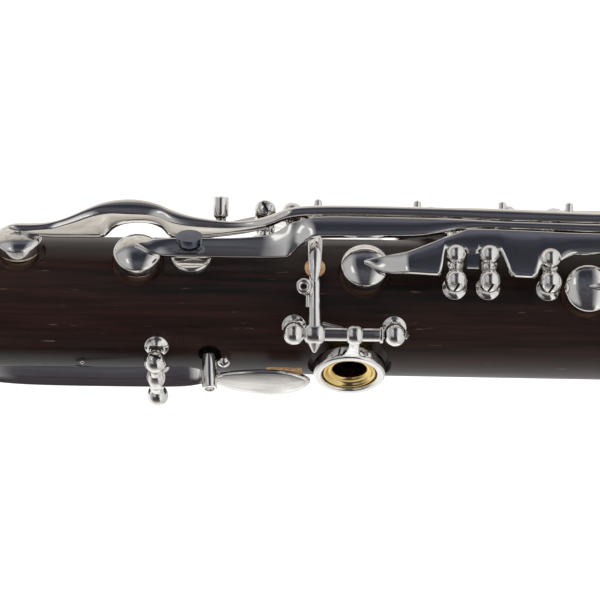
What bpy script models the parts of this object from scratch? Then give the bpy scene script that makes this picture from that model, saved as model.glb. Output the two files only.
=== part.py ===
"""Soprano clarinet in B flat, Boehm system, 17 keys and 6 rings. Metres, +Z up.

It stands on the rim of its bell. The origin is the centre of the rim's underside, the
mouthpiece is on top, the finger holes face -Y, the thumb hole faces +Y and the side (trill)
keys are on the player's right, at -X. An angle `th` is measured in degrees round the axis
from +Y towards -X, so 0 is the back, 90 the player's right, 180 the front and 270 the left.
"""

import bpy
import bmesh
from math import radians, sin, cos, pi
from mathutils import Vector

MM = 0.001

# ---------------------------------------------------------------- driving dimensions (mm)
Z_BELL_TOP = 106.0          # shoulder between bell and lower joint
Z_MID = 332.0               # shoulder between lower and upper joint
Z_BARREL = 527.0            # shoulder between upper joint and barrel
Z_MOUTH = 593.0             # shoulder between barrel and mouthpiece
Z_TIP = 665.0               # tip of the mouthpiece
GAP = 0.3                   # clearance between touching pieces

R_BORE = 7.35               # half of the 14.7 mm bore
R_UP_LOW, R_UP_TOP = 13.95, 13.20      # upper joint, outside, lower and upper end
R_LOW_TOP, R_LOW_LOW = 14.00, 14.70    # lower joint, outside
R_RIM = 40.0                # bell rim
TENON_R, SOCKET_R = 11.1, 11.4
BELL_TENON_R, BELL_SOCKET_R = 12.8, 13.1
TENON_TOP, TENON_MID, TENON_BELL, TENON_MOUTH = 15.0, 17.5, 18.0, 17.0

R_HINGE = 18.7              # radius at which most hinge axes lie
ROD_R, TUBE_IN, TUBE_OUT = 0.65, 0.95, 1.35
BALL_R = 2.2                # ball head of a post
STEM_R = 1.05
FLANGE_R = 2.4
PLATE = 1.3                 # thickness of the flat levers
PAD_DROP = 0.3

TRILL_AXLE_Z = (409.8, 403.3, 391.6)   # axles of side keys 1, 2 and 3
TRILL_TH = (74.0, 126.0)               # the angles of their two posts
BAR_TH, BAR_A = 87.0, 20.4             # plane of the side-key bars: its normal and distance
CUP_R = 4.65
TRILL_CUPS = ((495.1, 107.4), (471.6, 94.8), (427.3, 86.5), (384.0, 72.0))
SIDE_LIFT = 1.3                        # the side keys' thicker pads hold their cups this much higher
SIDE_TH = 57.0                         # the outline of side keys 1 and 2 is drawn in a plane that faces this way

THUMB_Z = 429.9             # thumb hole
THUMB_AXIS_TH = 41.0
THUMB_POSTS = (440.9, 421.4)
REG_Z = 467.7               # register key axle
REG_TH = (20.8, -16.0)
REG_CUP_Z = 507.0

L1_Z, L2_Z, L3_Z = 414.0, 389.5, 362.5     # left-hand finger holes
R1_Z, R2_Z, R3_Z = 299.0, 276.0, 249.0     # right-hand finger holes
STACK_TH = 141.0            # hinge line of the ring keys

SEG_BODY, SEG_KEY, SEG_POST = 24, 10, 8

# ------------------------------------------------------------------------------- materials
MATERIALS = {
    "grenadilla": ((0.014, 0.010, 0.009, 1), 0.0, 0.38),
    "ebonite": ((0.010, 0.010, 0.011, 1), 0.0, 0.18),
    "silver": ((0.86, 0.84, 0.80, 1), 1.0, 0.12),
    "brass": ((0.74, 0.52, 0.22, 1), 1.0, 0.25),
    "cork": ((0.56, 0.38, 0.20, 1), 0.0, 0.85),
    "cane": ((0.80, 0.66, 0.38, 1), 0.0, 0.55),
    "felt": ((0.74, 0.66, 0.52, 1), 0.0, 0.90),
    "steel": ((0.55, 0.55, 0.56, 1), 1.0, 0.25),
}


def material(node_name, kind):
    colour, metallic, rough = MATERIALS[kind]
    mat = bpy.data.materials.new(node_name + "_" + kind)
    mat.use_nodes = True
    shader = mat.node_tree.nodes["Principled BSDF"]
    shader.inputs["Base Color"].default_value = colour
    shader.inputs["Metallic"].default_value = metallic
    shader.inputs["Roughness"].default_value = rough
    mat.diffuse_color = colour
    return mat


# --------------------------------------------------------------------------- point helpers
def pt(th, r, z):
    t = radians(th)
    return Vector((-r * sin(t), r * cos(t), z))


def outward(th):
    return pt(th, 1.0, 0.0)


def along(th):
    """The tangent, towards larger th."""
    t = radians(th)
    return Vector((-cos(t), -sin(t), 0.0))


def on_bars(z, a, b):
    """A point in the plane of the side-key bars: a from the axis, b across."""
    return outward(BAR_TH) * a + along(BAR_TH) * b + Vector((0, 0, z))


def body_r(z):
    if z >= Z_MID:
        k = (z - Z_MID) / (Z_BARREL - Z_MID)
        return R_UP_LOW + (R_UP_TOP - R_UP_LOW) * k
    k = (z - Z_BELL_TOP) / (Z_MID - Z_BELL_TOP)
    return R_LOW_LOW + (R_LOW_TOP - R_LOW_LOW) * k


# ------------------------------------------------------------------------ solid primitives
# A solid is (points, faces) in millimetres.
def revolve(profile, origin=Vector((0, 0, 0)), axis=Vector((0, 0, 1)), seg=SEG_KEY, loop=False, turn=0.0):
    """Turns a profile of (radius, height). Open profiles start and end on the axis."""
    axis = axis.normalized()
    side = axis.cross(Vector((0, 0, 1)))
    side = Vector((1, 0, 0)) if side.length < 1e-6 else side.normalized()
    other = axis.cross(side)
    points, rows = [], []
    for radius, height in profile:
        base = origin + axis * height
        if radius < 1e-9:
            rows.append([len(points)])
            points.append(base)
            continue
        rows.append(list(range(len(points), len(points) + seg)))
        for k in range(seg):
            t = 2 * pi * k / seg + turn
            points.append(base + (side * cos(t) + other * sin(t)) * radius)
    faces = []
    pairs = list(zip(rows, rows[1:] + rows[:1])) if loop else list(zip(rows, rows[1:]))
    for low, high in pairs:
        for k in range(seg):
            n = (k + 1) % seg
            if len(low) == 1:
                faces.append((low[0], high[n], high[k]))
            elif len(high) == 1:
                faces.append((low[k], low[n], high[0]))
            else:
                faces.append((low[k], low[n], high[n], high[k]))
    return points, faces


def rod(p0, p1, radius, seg=SEG_POST):
    length = (p1 - p0).length
    return revolve([(0, 0), (radius, 0), (radius, length), (0, length)], p0, p1 - p0, seg)


def loft(sections):
    """Closed sections of equal length, joined in order, with both ends capped."""
    points, faces = [], []
    count = len(sections[0])
    for section in sections:
        points.extend(section)
    for i in range(len(sections) - 1):
        for k in range(count):
            n = (k + 1) % count
            faces.append((i * count + k, i * count + n, (i + 1) * count + n, (i + 1) * count + k))
    faces.append(tuple(reversed(range(count))))
    last = (len(sections) - 1) * count
    faces.append(tuple(range(last, last + count)))
    return points, faces


def plate(stations, thick=PLATE):
    """A flat lever along Z. A station is (lower edge point, upper edge point), outer face."""
    sections = []
    for low, high in stations:
        across = (high - low)
        across.z = 0
        normal = Vector((-across.y, across.x, 0)).normalized()
        middle = (low + high) / 2
        if normal.dot(Vector((middle.x, middle.y, 0))) < 0:
            normal = -normal
        sections.append([low, high, high - normal * thick, low - normal * thick])
    return loft(sections)


def strap(stations, thick=PLATE):
    """An arm round the body. A station is (th, r of its outer face, z, width along Z)."""
    sections = []
    for th, r, z, width in stations:
        sections.append([
            pt(th, r, z - width / 2), pt(th, r, z + width / 2),
            pt(th, r - thick, z + width / 2), pt(th, r - thick, z - width / 2),
        ])
    return loft(sections)


def box(centre, ux, uy, uz, sx, sy, sz):
    sections = []
    for k in (-0.5, 0.5):
        c = centre + uz * (sz * k)
        sections.append([c + ux * (sx * a) + uy * (sy * b) for a, b in ((-0.5, -0.5), (0.5, -0.5), (0.5, 0.5), (-0.5, 0.5))])
    return loft(sections)


def seat_n(z):
    """Height of a pad seat above the axis: just under the outside of the wood."""
    return body_r(z) - 0.25


def cup(z, th, radius=CUP_R, seg=SEG_KEY, solid=True, lift=0.0):
    """A pad cup over a seat. With solid=True its pad is part of it."""
    n = seat_n(z) + PAD_DROP + lift
    axis = outward(th)
    base = Vector((0, 0, z))
    if solid:
        profile = [(0, n), (radius - 0.45, n), (radius - 0.45, n + 0.7), (radius, n + 0.7),
                   (radius, n + 1.9), (radius - 1.1, n + 3.1), (0, n + 3.6)]
        return revolve(profile, base, axis, seg)
    profile = [(0, n + 1.5), (radius - 0.5, n + 1.5), (radius - 0.5, n + 0.6), (radius, n + 0.6),
               (radius, n + 1.9), (radius - 1.1, n + 3.1), (0, n + 3.6)]
    return revolve(profile, base, axis, seg)


def pad(z, th, radius=CUP_R, seg=SEG_KEY, lift=0.0):
    n = seat_n(z) + PAD_DROP
    return revolve([(0, n), (radius - 0.8, n), (radius - 0.8, n + 1.2 + lift), (0, n + 1.2 + lift)],
                   Vector((0, 0, z)), outward(th), seg)


def seat_cutter(z, th, radius, hole, sunk=False, seg=10):
    """Cuts a tone hole with a flat seat, or with a raised seat in a sunk ring."""
    n = seat_n(z)
    if not sunk:
        return revolve([(0, 4.0), (hole, 4.0), (hole, n), (radius + 0.4, n), (radius + 0.4, n + 6), (0, n + 6)], Vector((0, 0, z)), outward(th), seg, turn=0.07)
    return revolve([(0, 4.0), (hole, 4.0), (hole, n), (hole + 1.1, n), (hole + 1.1, n - 1.0), (radius + 0.6, n - 1.0),
                    (radius + 0.6, n + 8), (0, n + 8)], Vector((0, 0, z)), outward(th), seg)


def finger_hole_cutter(z, th, hole, seg=SEG_KEY):
    return revolve([(0, 4.0), (hole - 0.3, 4.0), (hole + 0.2, 22.0), (0, 22.0)], Vector((0, 0, z)), outward(th), seg)


def chimney(z, th, radius, top, seg=SEG_KEY):
    return revolve([(0, 10.0), (radius, 10.0), (radius, top), (0, top)], Vector((0, 0, z)), outward(th), seg)


def ring(z, th, top, outer, inner, height=2.2, seg=16):
    return revolve([(inner, top - height), (outer, top - height), (outer, top - 0.5), (outer - 0.4, top), (inner, top)],
                   Vector((0, 0, z)), outward(th), seg, loop=True)


def post(z, th, r_ball=R_HINGE, seg=SEG_POST):
    """A pillar screwed into the wood: flange, stem and ball head."""
    n0 = body_r(z) + GAP
    profile = [(0, n0), (FLANGE_R, n0), (FLANGE_R, n0 + 0.6), (STEM_R, n0 + 1.2), (STEM_R, r_ball - BALL_R * 0.9),
               (BALL_R * 0.8, r_ball - BALL_R * 0.6), (BALL_R, r_ball), (BALL_R * 0.75, r_ball + BALL_R * 0.66), (0, r_ball + BALL_R)]
    return revolve(profile, Vector((0, 0, z)), outward(th), seg, turn=pi / seg)


def axial_pivot(th, zs, r=R_HINGE):
    """Posts at zs with one hinge rod through them, parallel to the body."""
    solids = [post(z, th, r) for z in zs]
    solids.append(rod(pt(th, r, max(zs) + 0.6), pt(th, r, min(zs) - 0.6), ROD_R))
    return solids


def cross_pivot(z, ths, r=R_HINGE):
    """Two posts with a hinge rod across the body."""
    p0, p1 = pt(ths[0], r, z), pt(ths[1], r, z)
    d = (p1 - p0).normalized()
    return [post(z, ths[0], r), post(z, ths[1], r), rod(p0 - d * 0.5, p1 + d * 0.5, ROD_R)]


def cross_ends(z, ths, r=R_HINGE, ends=BALL_R + GAP):
    p0, p1 = pt(ths[0], r, z), pt(ths[1], r, z)
    d = (p1 - p0).normalized()
    return p0 + d * ends, p1 - d * ends


# --------------------------------------------------------------------------- object making
def raw_object(name, solid):
    mesh = bpy.data.meshes.new(name)
    points, faces = solid
    mesh.from_pydata([tuple(p) for p in points], [], faces)
    work = bmesh.new()
    work.from_mesh(mesh)
    bmesh.ops.recalc_face_normals(work, faces=work.faces)
    twisted = [f for f in work.faces if any(abs((v.co - f.verts[0].co).dot(f.normal)) > 1e-4 for v in f.verts)]
    if twisted:
        bmesh.ops.triangulate(work, faces=twisted)
    if work.calc_volume(signed=True) < 0:
        bmesh.ops.reverse_faces(work, faces=work.faces)
    work.to_mesh(mesh)
    work.free()
    obj = bpy.data.objects.new(name, mesh)
    bpy.context.scene.collection.objects.link(obj)
    return obj


def make(name, kind, solids, cuts=(), origin=(0, 0, 0), sharp=35.0):
    """Joins the solids, takes the cuts away and leaves one object whose origin is `origin` (mm)."""
    base = raw_object(name, solids[0])
    helpers = []
    for operation, group in (("UNION", solids[1:]), ("DIFFERENCE", cuts)):
        for k, solid in enumerate(group):
            helper = raw_object("helper", solid)
            helpers.append(helper)
            modifier = base.modifiers.new("join" + str(k), "BOOLEAN")
            modifier.operation = operation
            modifier.solver = "EXACT"
            modifier.object = helper
    if helpers:
        bpy.context.view_layer.update()
        graph = bpy.context.evaluated_depsgraph_get()
        joined = bpy.data.meshes.new_from_object(base.evaluated_get(graph))
        joined.name = name
        base.modifiers.clear()
        base.data = joined
        for helper in helpers:
            bpy.data.objects.remove(helper, do_unlink=True)
    place = Vector(origin) * MM
    work = bmesh.new()
    work.from_mesh(base.data)
    bmesh.ops.remove_doubles(work, verts=work.verts, dist=0.0002)
    for vertex in work.verts:
        vertex.co = vertex.co * MM - place
    limit = radians(sharp)
    for face in work.faces:
        face.smooth = True
    for edge in work.edges:
        edge.smooth = len(edge.link_faces) == 2 and edge.calc_face_angle(0) < limit
    work.to_mesh(base.data)
    work.free()
    base.location = place
    base.data.materials.clear()
    base.data.materials.append(material(name, kind))
    return base


def hinged(name, p0, p1, solids, origin):
    """A key: a hinge tube from p0 to p1 and what is soldered to it, bored for the hinge rod."""
    d = (p1 - p0).normalized()
    return make(name, "silver", [rod(p0, p1, TUBE_OUT, 12)] + solids, [rod(p0 - d * 1.5, p1 + d * 1.5, TUBE_IN, 10)], origin=origin)


def clear_scene():
    for obj in list(bpy.data.objects):
        bpy.data.objects.remove(obj, do_unlink=True)


# ------------------------------------------------------------------------------ the bodies
def build_bell():
    top = Z_BELL_TOP - GAP
    foot = top - TENON_BELL - GAP
    outline = [
        (35.6, 0.3), (37.0, 0.3), (37.0, 4.6), (39.3, 4.6), (38.2, 8.0), (34.0, 13.5), (28.5, 22.0), (23.4, 34.0), (19.6, 48.0),
        (17.4, 64.0), (17.0, 80.0), (17.6, 92.0), (17.9, 98.0), (15.2, 98.0), (15.2, top), (BELL_SOCKET_R, top), (BELL_SOCKET_R, foot),
        (11.0, foot), (12.2, 72.0), (15.0, 52.0), (19.4, 34.0), (25.0, 19.5), (31.0, 7.5),
    ]
    make("bell", "grenadilla", [revolve(outline, seg=SEG_BODY, loop=True)])
    make("bell_rim_ring", "silver", [revolve([(37.3, 0), (R_RIM - 0.4, 0), (R_RIM, 0.4), (R_RIM, 3.9), (R_RIM - 0.4, 4.3), (37.3, 4.3)],
                                             seg=SEG_BODY, loop=True)])
    make("bell_socket_ring", "silver", [revolve([(15.5, 98.3), (18.0, 98.3), (18.3, 99.0), (18.3, top - 0.7), (17.7, top), (15.5, top)],
                                                seg=SEG_BODY, loop=True)])


def build_lower_joint():
    top = Z_MID - GAP
    foot = top - TENON_MID - GAP
    low = Z_BELL_TOP - TENON_BELL
    outline = [
        (10.6, low), (BELL_TENON_R, low), (BELL_TENON_R, Z_BELL_TOP), (R_LOW_LOW, Z_BELL_TOP), (R_LOW_TOP + 0.1, 313.0), (15.3, 317.0), (15.6, 323.0), (13.3, 323.0),
        (13.3, top), (SOCKET_R, top), (SOCKET_R, foot), (R_BORE, foot), (R_BORE, 185.0), (8.6, 130.0),
    ]
    solids = [revolve(outline, seg=SEG_BODY, loop=True)]
    for z in (R1_Z, R2_Z, R3_Z):
        solids.append(chimney(z, 180, 4.8, 16.2))
    cuts = [finger_hole_cutter(z, 180, 3.9) for z in (R1_Z, R2_Z, R3_Z)]
    for z, th, radius, hole in LOWER_SEATS:
        cuts.append(seat_cutter(z, th, radius, hole))
    make("lower_joint", "grenadilla", solids, cuts)
    make("lower_joint_socket_ring", "silver", [revolve([(13.6, 323.3), (15.6, 323.3), (15.9, 324.0), (15.9, top - 0.7), (15.4, top), (13.6, top)],
                                                       seg=SEG_BODY, loop=True)])


def build_upper_joint():
    low, high = Z_MID - TENON_MID, Z_BARREL + TENON_TOP
    outline = [(R_BORE, low), (TENON_R, low), (TENON_R, Z_MID), (R_UP_LOW, Z_MID), (R_UP_TOP, Z_BARREL), (TENON_R, Z_BARREL), (TENON_R, high), (R_BORE, high)]
    solids = [revolve(outline, seg=SEG_BODY, loop=True)]
    for z, radius in ((L1_Z, 4.8), (L2_Z, 4.8), (L3_Z, 6.4)):
        solids.append(chimney(z, 180, radius, 15.8))
    cuts = [finger_hole_cutter(z, 180, 3.9) for z in (L1_Z, L2_Z, L3_Z)]
    cuts.append(revolve([(0, 4.0), (4.9, 4.0), (4.9, 12.0), (7.7, 12.0), (7.7, 22.0), (0, 22.0)], Vector((0, 0, THUMB_Z)), outward(0), 20))
    for k, (z, th, radius, hole) in enumerate(UPPER_SEATS):
        cuts.append(seat_cutter(z, th, radius, hole, sunk=k < 4))
    make("upper_joint", "grenadilla", solids, cuts)
    make("thumb_tube", "brass", [revolve([(3.35, 7.6), (4.6, 7.6), (4.6, 13.9), (5.1, 14.7), (5.1, 15.3), (4.5, 15.4), (3.35, 14.1)],
                                         Vector((0, 0, THUMB_Z)), outward(0), 20, loop=True)])


def build_barrel():
    low, high = Z_BARREL + GAP, Z_MOUTH - GAP
    s0, s1 = low + TENON_TOP + GAP, high - TENON_MOUTH - GAP
    outline = [
        (SOCKET_R, low), (14.0, low), (14.0, low + 6.3), (16.2, low + 6.3), (16.9, low + 20), (17.0, low + 36), (16.5, high - 6.3), (14.2, high - 6.3),
        (14.2, high), (SOCKET_R, high), (SOCKET_R, s1), (R_BORE, s1), (R_BORE, s0), (SOCKET_R, s0),
    ]
    make("barrel", "grenadilla", [revolve(outline, seg=SEG_BODY, loop=True)])
    make("barrel_lower_ring", "silver", [revolve([(14.3, low), (15.6, low), (16.1, low + 0.6), (16.1, low + 5.6), (15.8, low + 6.0), (14.3, low + 6.0)],
                                                 seg=SEG_BODY, loop=True)])
    make("barrel_upper_ring", "silver", [revolve([(14.5, high - 6.0), (16.1, high - 6.0), (16.4, high - 5.6), (16.4, high - 0.6), (15.9, high), (14.5, high)],
                                                 seg=SEG_BODY, loop=True)])


def build_mouthpiece():
    low = Z_MOUTH - TENON_MOUTH
    outline = [
        (0, low), (TENON_R, low), (TENON_R, Z_MOUTH),
        (13.8, Z_MOUTH), (14.3, Z_MOUTH + 1.5), (14.3, Z_MOUTH + 4), (13.6, Z_MOUTH + 6), (12.9, 640.0), (12.0, Z_TIP), (0, Z_TIP),
    ]
    X, Y, Z = Vector((1, 0, 0)), Vector((0, 1, 0)), Vector((0, 0, 1))
    # Flat table on the reed side, sloped beak in front, and narrowed sides.
    table = box(Vector((0, 8.3 + 10, 650)), X, Y, Z, 40, 20, 2 * (650 - 599.2))
    beak = loft([[Vector((x, y, z)) for y, z in ((-13.8, 624.0), (-30, 624.0), (-30, 670.0), (7.3, 670.0), (7.3, 664.6))] for x in (-20, 20)])
    sides = []
    for s in (-1, 1):
        sides.append(loft([[Vector((s * x, y, z)) for x, z in ((13.2, 622.0), (24, 622.0), (24, 672.0), (6.2, 672.0), (6.6, 664.0))] for y in (-20, 20)]))
    bore = revolve([(0, low - 2), (R_BORE, low - 2), (R_BORE - 0.2, 618.0), (5.2, 634.0), (0, 634.0)], seg=20)
    window = loft([[Vector((x, y, z)) for y, z in ((9.5, 627.0), (9.5, 661.5), (7.0, 661.5), (-4.2, 631.0), (-3.5, 622.0))] for x in (-4.9, 4.9)])
    make("mouthpiece", "ebonite", [revolve(outline, seg=SEG_BODY)], [table, beak] + sides + [bore, window])
    y0 = 8.3 + GAP
    reed_side = [(y0, 599.6), (y0, Z_TIP - 0.6), (y0 + 0.25, Z_TIP - 0.6), (y0 + 1.0, 650.0), (y0 + 2.8, 632.0), (y0 + 2.9, 599.6)]
    make("reed", "cane", [loft([[Vector((x, y, z)) for y, z in reed_side] for x in (-6.4, 6.4)])])
    # The ligature: a split band with two pairs of lugs that its screws pull together.
    z0, z1 = 604.0, 628.0
    band = revolve([(14.0, z0), (14.9, z0), (15.0, z0 + 0.6), (14.7, z1 - 0.6), (14.6, z1), (13.7, z1)], seg=SEG_BODY, loop=True)
    lugs, cuts = [], [box(Vector((0, 17, (z0 + z1) / 2)), X, Y, Z, 1.6, 12, 40)]
    for z in (609.0, 622.5):
        for s in (-1, 1):
            lugs.append(box(Vector((s * 2.3, 16.6, z)), X, Y, Z, 2.0, 5.0, 4.6))
        cuts.append(rod(Vector((-8, 17.3, z)), Vector((8, 17.3, z)), 1.15, 12))
    make("ligature", "silver", [band] + lugs, cuts)
    for label, z in (("lower", 609.0), ("upper", 622.5)):
        make("ligature_screw_" + label, "silver",
             [revolve([(0, -4.4), (0.8, -4.4), (0.8, 4.2), (2.7, 4.2), (3.0, 4.7), (3.0, 8.0), (2.6, 8.4), (0, 8.4)],
                      Vector((0, 17.3, z)), Vector((-1, 0, 0)), 16)])


def build_thumb_rest():
    z, n = 262.0, body_r(262.0) + GAP
    base = strap([(th, n + 1.5, z, 24.0) for th in (-26, -13, 0, 13, 26)], 1.5)
    stem = box(Vector((0, n + 3.6, z + 4)), Vector((1, 0, 0)), Vector((0, 1, 0)), Vector((0, 0, 1)), 7.0, 6.0, 5.0)
    shelf = loft([[Vector((x, y, zz)) for y, zz in ((n + 3.0, z + 1.5), (n + 17.0, z - 1.2), (n + 19.0, z + 0.6), (n + 17.4, z + 2.2), (n + 3.0, z + 5.0))]
                  for x in (-8.0, 8.0)])
    make("thumb_rest", "silver", [base, stem, shelf])


# --------------------------------------------------------------------- keys: back and right
def build_register_key():
    axis_p = pt((REG_TH[0] + REG_TH[1]) / 2, R_HINGE * cos(radians((REG_TH[0] - REG_TH[1]) / 2)), REG_Z)
    th = 1.5
    x = along(th)

    def st(z, n, half, off=0.0):
        c = outward(th) * n + Vector((0, 0, z))
        return (c + x * (off - half), c + x * (off + half))

    lever = plate([st(REG_CUP_Z - 1, 17.2, 1.6), st(REG_CUP_Z - 8, 18.4, 1.9), st(486, 18.9, 2.0), st(REG_Z, 18.8, 2.0), st(458, 18.2, 2.2), st(454, 18.3, 3.2),
                   st(448, 18.3, 3.5), st(441, 18.2, 2.8), st(437.8, 17.9, 1.2)])
    ends = cross_ends(REG_Z, REG_TH)
    hinged("register_key", ends[0], ends[1], [lever, cup(REG_CUP_Z, th, 4.4, solid=False)], axis_p)
    make("register_key_pad", "felt", [pad(REG_CUP_Z, th, 4.4)])
    make("register_key_pivot", "silver", cross_pivot(REG_Z, REG_TH))


def build_thumb_ring_key():
    a, r = THUMB_AXIS_TH, R_HINGE
    z0, z1 = THUMB_POSTS[1] + BALL_R + GAP, THUMB_POSTS[0] - BALL_R - GAP
    neck = strap([(a, r + 0.9, 429.0, 2.6), (30, 17.6, 429.2, 2.4), (23, 16.6, 429.6, 3.4)], 1.8)
    arm = strap([(a, r + 0.9, 436.6, 2.4), (54, 18.0, 436.8, 1.9), (68, 16.6, 437.0, 1.8), (80, 16.1, 437.1, 2.2), (92, 16.1, 437.1, 1.8)], 1.4)
    hinged("thumb_ring_key", pt(a, r, z0), pt(a, r, z1), [ring(THUMB_Z, 0, 15.9, 6.95, 5.45, 2.1, 20), neck, arm], pt(a, r, THUMB_Z))
    for name, z in (("thumb_ring_post_upper", THUMB_POSTS[0]), ("thumb_ring_post_lower", THUMB_POSTS[1])):
        make(name, "silver", [post(z, a)], [rod(pt(a, r, z - 4), pt(a, r, z + 4), TUBE_IN, 10)])
    make("thumb_ring_hinge_screw", "steel", [rod(pt(a, r, THUMB_POSTS[1] - 2.4), pt(a, r, THUMB_POSTS[0] + 2.4), ROD_R, 10)])


def beside(z, up, out):
    """A point by its height and distance in the plane that faces SIDE_TH."""
    return along(SIDE_TH) * up + outward(SIDE_TH) * out + Vector((0, 0, z))


def bar(stations, thick=PLATE):
    out = []
    for s in stations:
        if len(s) == 3:
            out.append((on_bars(s[0], BAR_A, s[1]), on_bars(s[0], BAR_A, s[2])))
        else:
            out.append((beside(s[0], s[1], s[2]), beside(s[0], s[3], s[4])))
    return plate(out, thick)


def saddle(z, b, width=1.2):
    """Joins a bar to the hinge tube under it."""
    p0, p1 = pt(TRILL_TH[0], R_HINGE, z), pt(TRILL_TH[1], R_HINGE, z)
    n, t = outward(BAR_TH), along(BAR_TH)
    k = (b - p0.dot(t)) / (p1.dot(t) - p0.dot(t))
    a = p0.dot(n) + k * (p1.dot(n) - p0.dot(n)) + TUBE_IN + 0.05
    top = BAR_A - PLATE / 2
    return box(on_bars(z, (a + top) / 2, b), t, n, Vector((0, 0, 1)), width, top - a, 2.2)


# Stations of the bars: (z, lower b, upper b) in the bar plane, or off it
# (z, lower up, lower out, upper up, upper out) in the plane that faces SIDE_TH.
TRILL_BARS = (
    [(496.4, 14.3, 11.9, 15.0, 11.4), (494.0, 13.9, 12.1, 15.6, 10.9), (491.2, 14.25, 11.6, 15.8, 10.3), (486.4, 15.2, 10.5, 16.7, 9.3), (484.4, 16.0, 9.9, 17.6, 8.6),
     (481.5, 17.2, 9.0, 19.05, 7.5), (478.9, 17.8, 8.6, 20.15, 6.7), (475.4, 17.7, 8.5, 20.85, 6.0), (471.9, 17.65, 8.5, 20.86, 6.0), (468.2, 17.35, 8.7, 20.1, 6.6),
     (465.6, 16.1, 9.9, 18.9, 7.6), (461.3, 15.4, 10.3, 17.5, 8.6), (455.4, 15.2, 10.5, 16.7, 9.2), (451.0, 15.3, 10.9, 16.5, 9.8), (446.6, 15.8, 12.0, 17.6, 10.5), (442.6, 8.6, 10.5), (438.9, 9.1, 11.2),
     (430.3, 9.3, 11.4), (414.7, 9.2, 11.2), (401.1, 8.6, 11.1), (382.6, 8.3, 10.4), (368.0, 8.4, 10.6), (362.0, 8.4, 12.2), (350.0, 8.4, 12.4), (346.0, 9.2, 11.6)],
    [(472.2, 11.2, 14.5, 12.0, 14.0), (470.6, 11.0, 14.8, 12.7, 13.6), (468.6, 10.1, 15.2, 12.9, 13.6), (465.7, 9.55, 14.6, 13.1, 13.4), (461.7, 9.5, 14.1, 13.2, 13.3),
     (453.5, 9.45, 14.1, 13.25, 13.3), (448.5, 9.5, 14.3, 13.6, 13.3), (445.8, 9.52, 14.6, 14.3, 13.4), (443.6, 9.6, 14.9, 15.7, 13.5), (441.5, 9.68, 15.2, 16.8, 13.5), (439.6, 12.2, 14.9, 17.1, 13.5),
     (437.5, 4.3, 8.6), (434.2, 4.4, 8.9), (416.7, 4.7, 8.8), (412.8, 5.5, 8.8), (407.9, 6.7, 8.6), (401.1, 6.8, 8.2), (382.7, 6.2, 7.9),
     (368.0, 6.2, 8.0), (362.0, 4.3, 8.0), (350.0, 4.3, 8.0), (346.0, 5.0, 7.4)],
    [(427.6, 8.4, 16.8, 9.2, 16.5), (424.5, 7.35, 17.25, 9.35, 16.2), (422.6, 6.8, 18.0, 9.9, 16.5), (419.3, -3.6, 0.9), (414.1, -3.9, 3.3),
     (412.6, -3.8, 4.0), (411.8, 0.4, 4.4), (408.6, 1.1, 6.0), (408.0, -2.2, 6.3), (405.5, -2.2, 6.4), (404.9, 1.1, 6.4), (400.3, -0.2, 6.3),
     (399.4, -4.0, 6.3), (394.3, -4.2, 6.1), (393.4, -1.0, 6.1), (390.2, -1.0, 5.9), (387.4, 1.2, 5.8), (380.0, 1.5, 5.7), (376.0, -1.2, 5.7), (369.0, -1.2, 5.6), (367.0, -0.4, 5.0)],
)
# The first bar's flat wing, cut round the second key's cup: (z, lower up, lower out, upper up, upper out).
ARCH_WING = (
    (493.4, 13.7, 12.2, 14.2, 11.8), (489.0, 13.55, 12.2, 14.7, 11.2), (484.4, 13.55, 12.3, 16.4, 9.6), (481.5, 13.6, 12.5, 17.6, 8.7), (478.2, 13.6, 12.5, 18.0, 8.4), (477.3, 14.2, 11.9, 18.0, 8.4),
    (476.6, 15.3, 10.9, 18.0, 8.4), (475.4, 16.05, 10.2, 18.0, 8.3), (471.9, 16.65, 9.6, 18.0, 8.2), (468.6, 16.3, 9.8, 17.8, 8.4), (466.9, 15.5, 10.6, 17.2, 9.0),
    (465.4, 13.8, 12.5, 16.6, 9.5), (461.3, 13.6, 12.4, 15.9, 9.9), (455.4, 14.2, 12.0, 15.7, 10.1), (451.0, 14.6, 12.0, 15.7, 10.5), (446.6, 15.6, 12.9, 16.2, 11.6),
)
TRILL_SADDLES = (9.5, 7.5, 3.5)
FOURTH_AXLE_Z, FOURTH_TH = 361.0, (50.0, 91.0)


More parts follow.
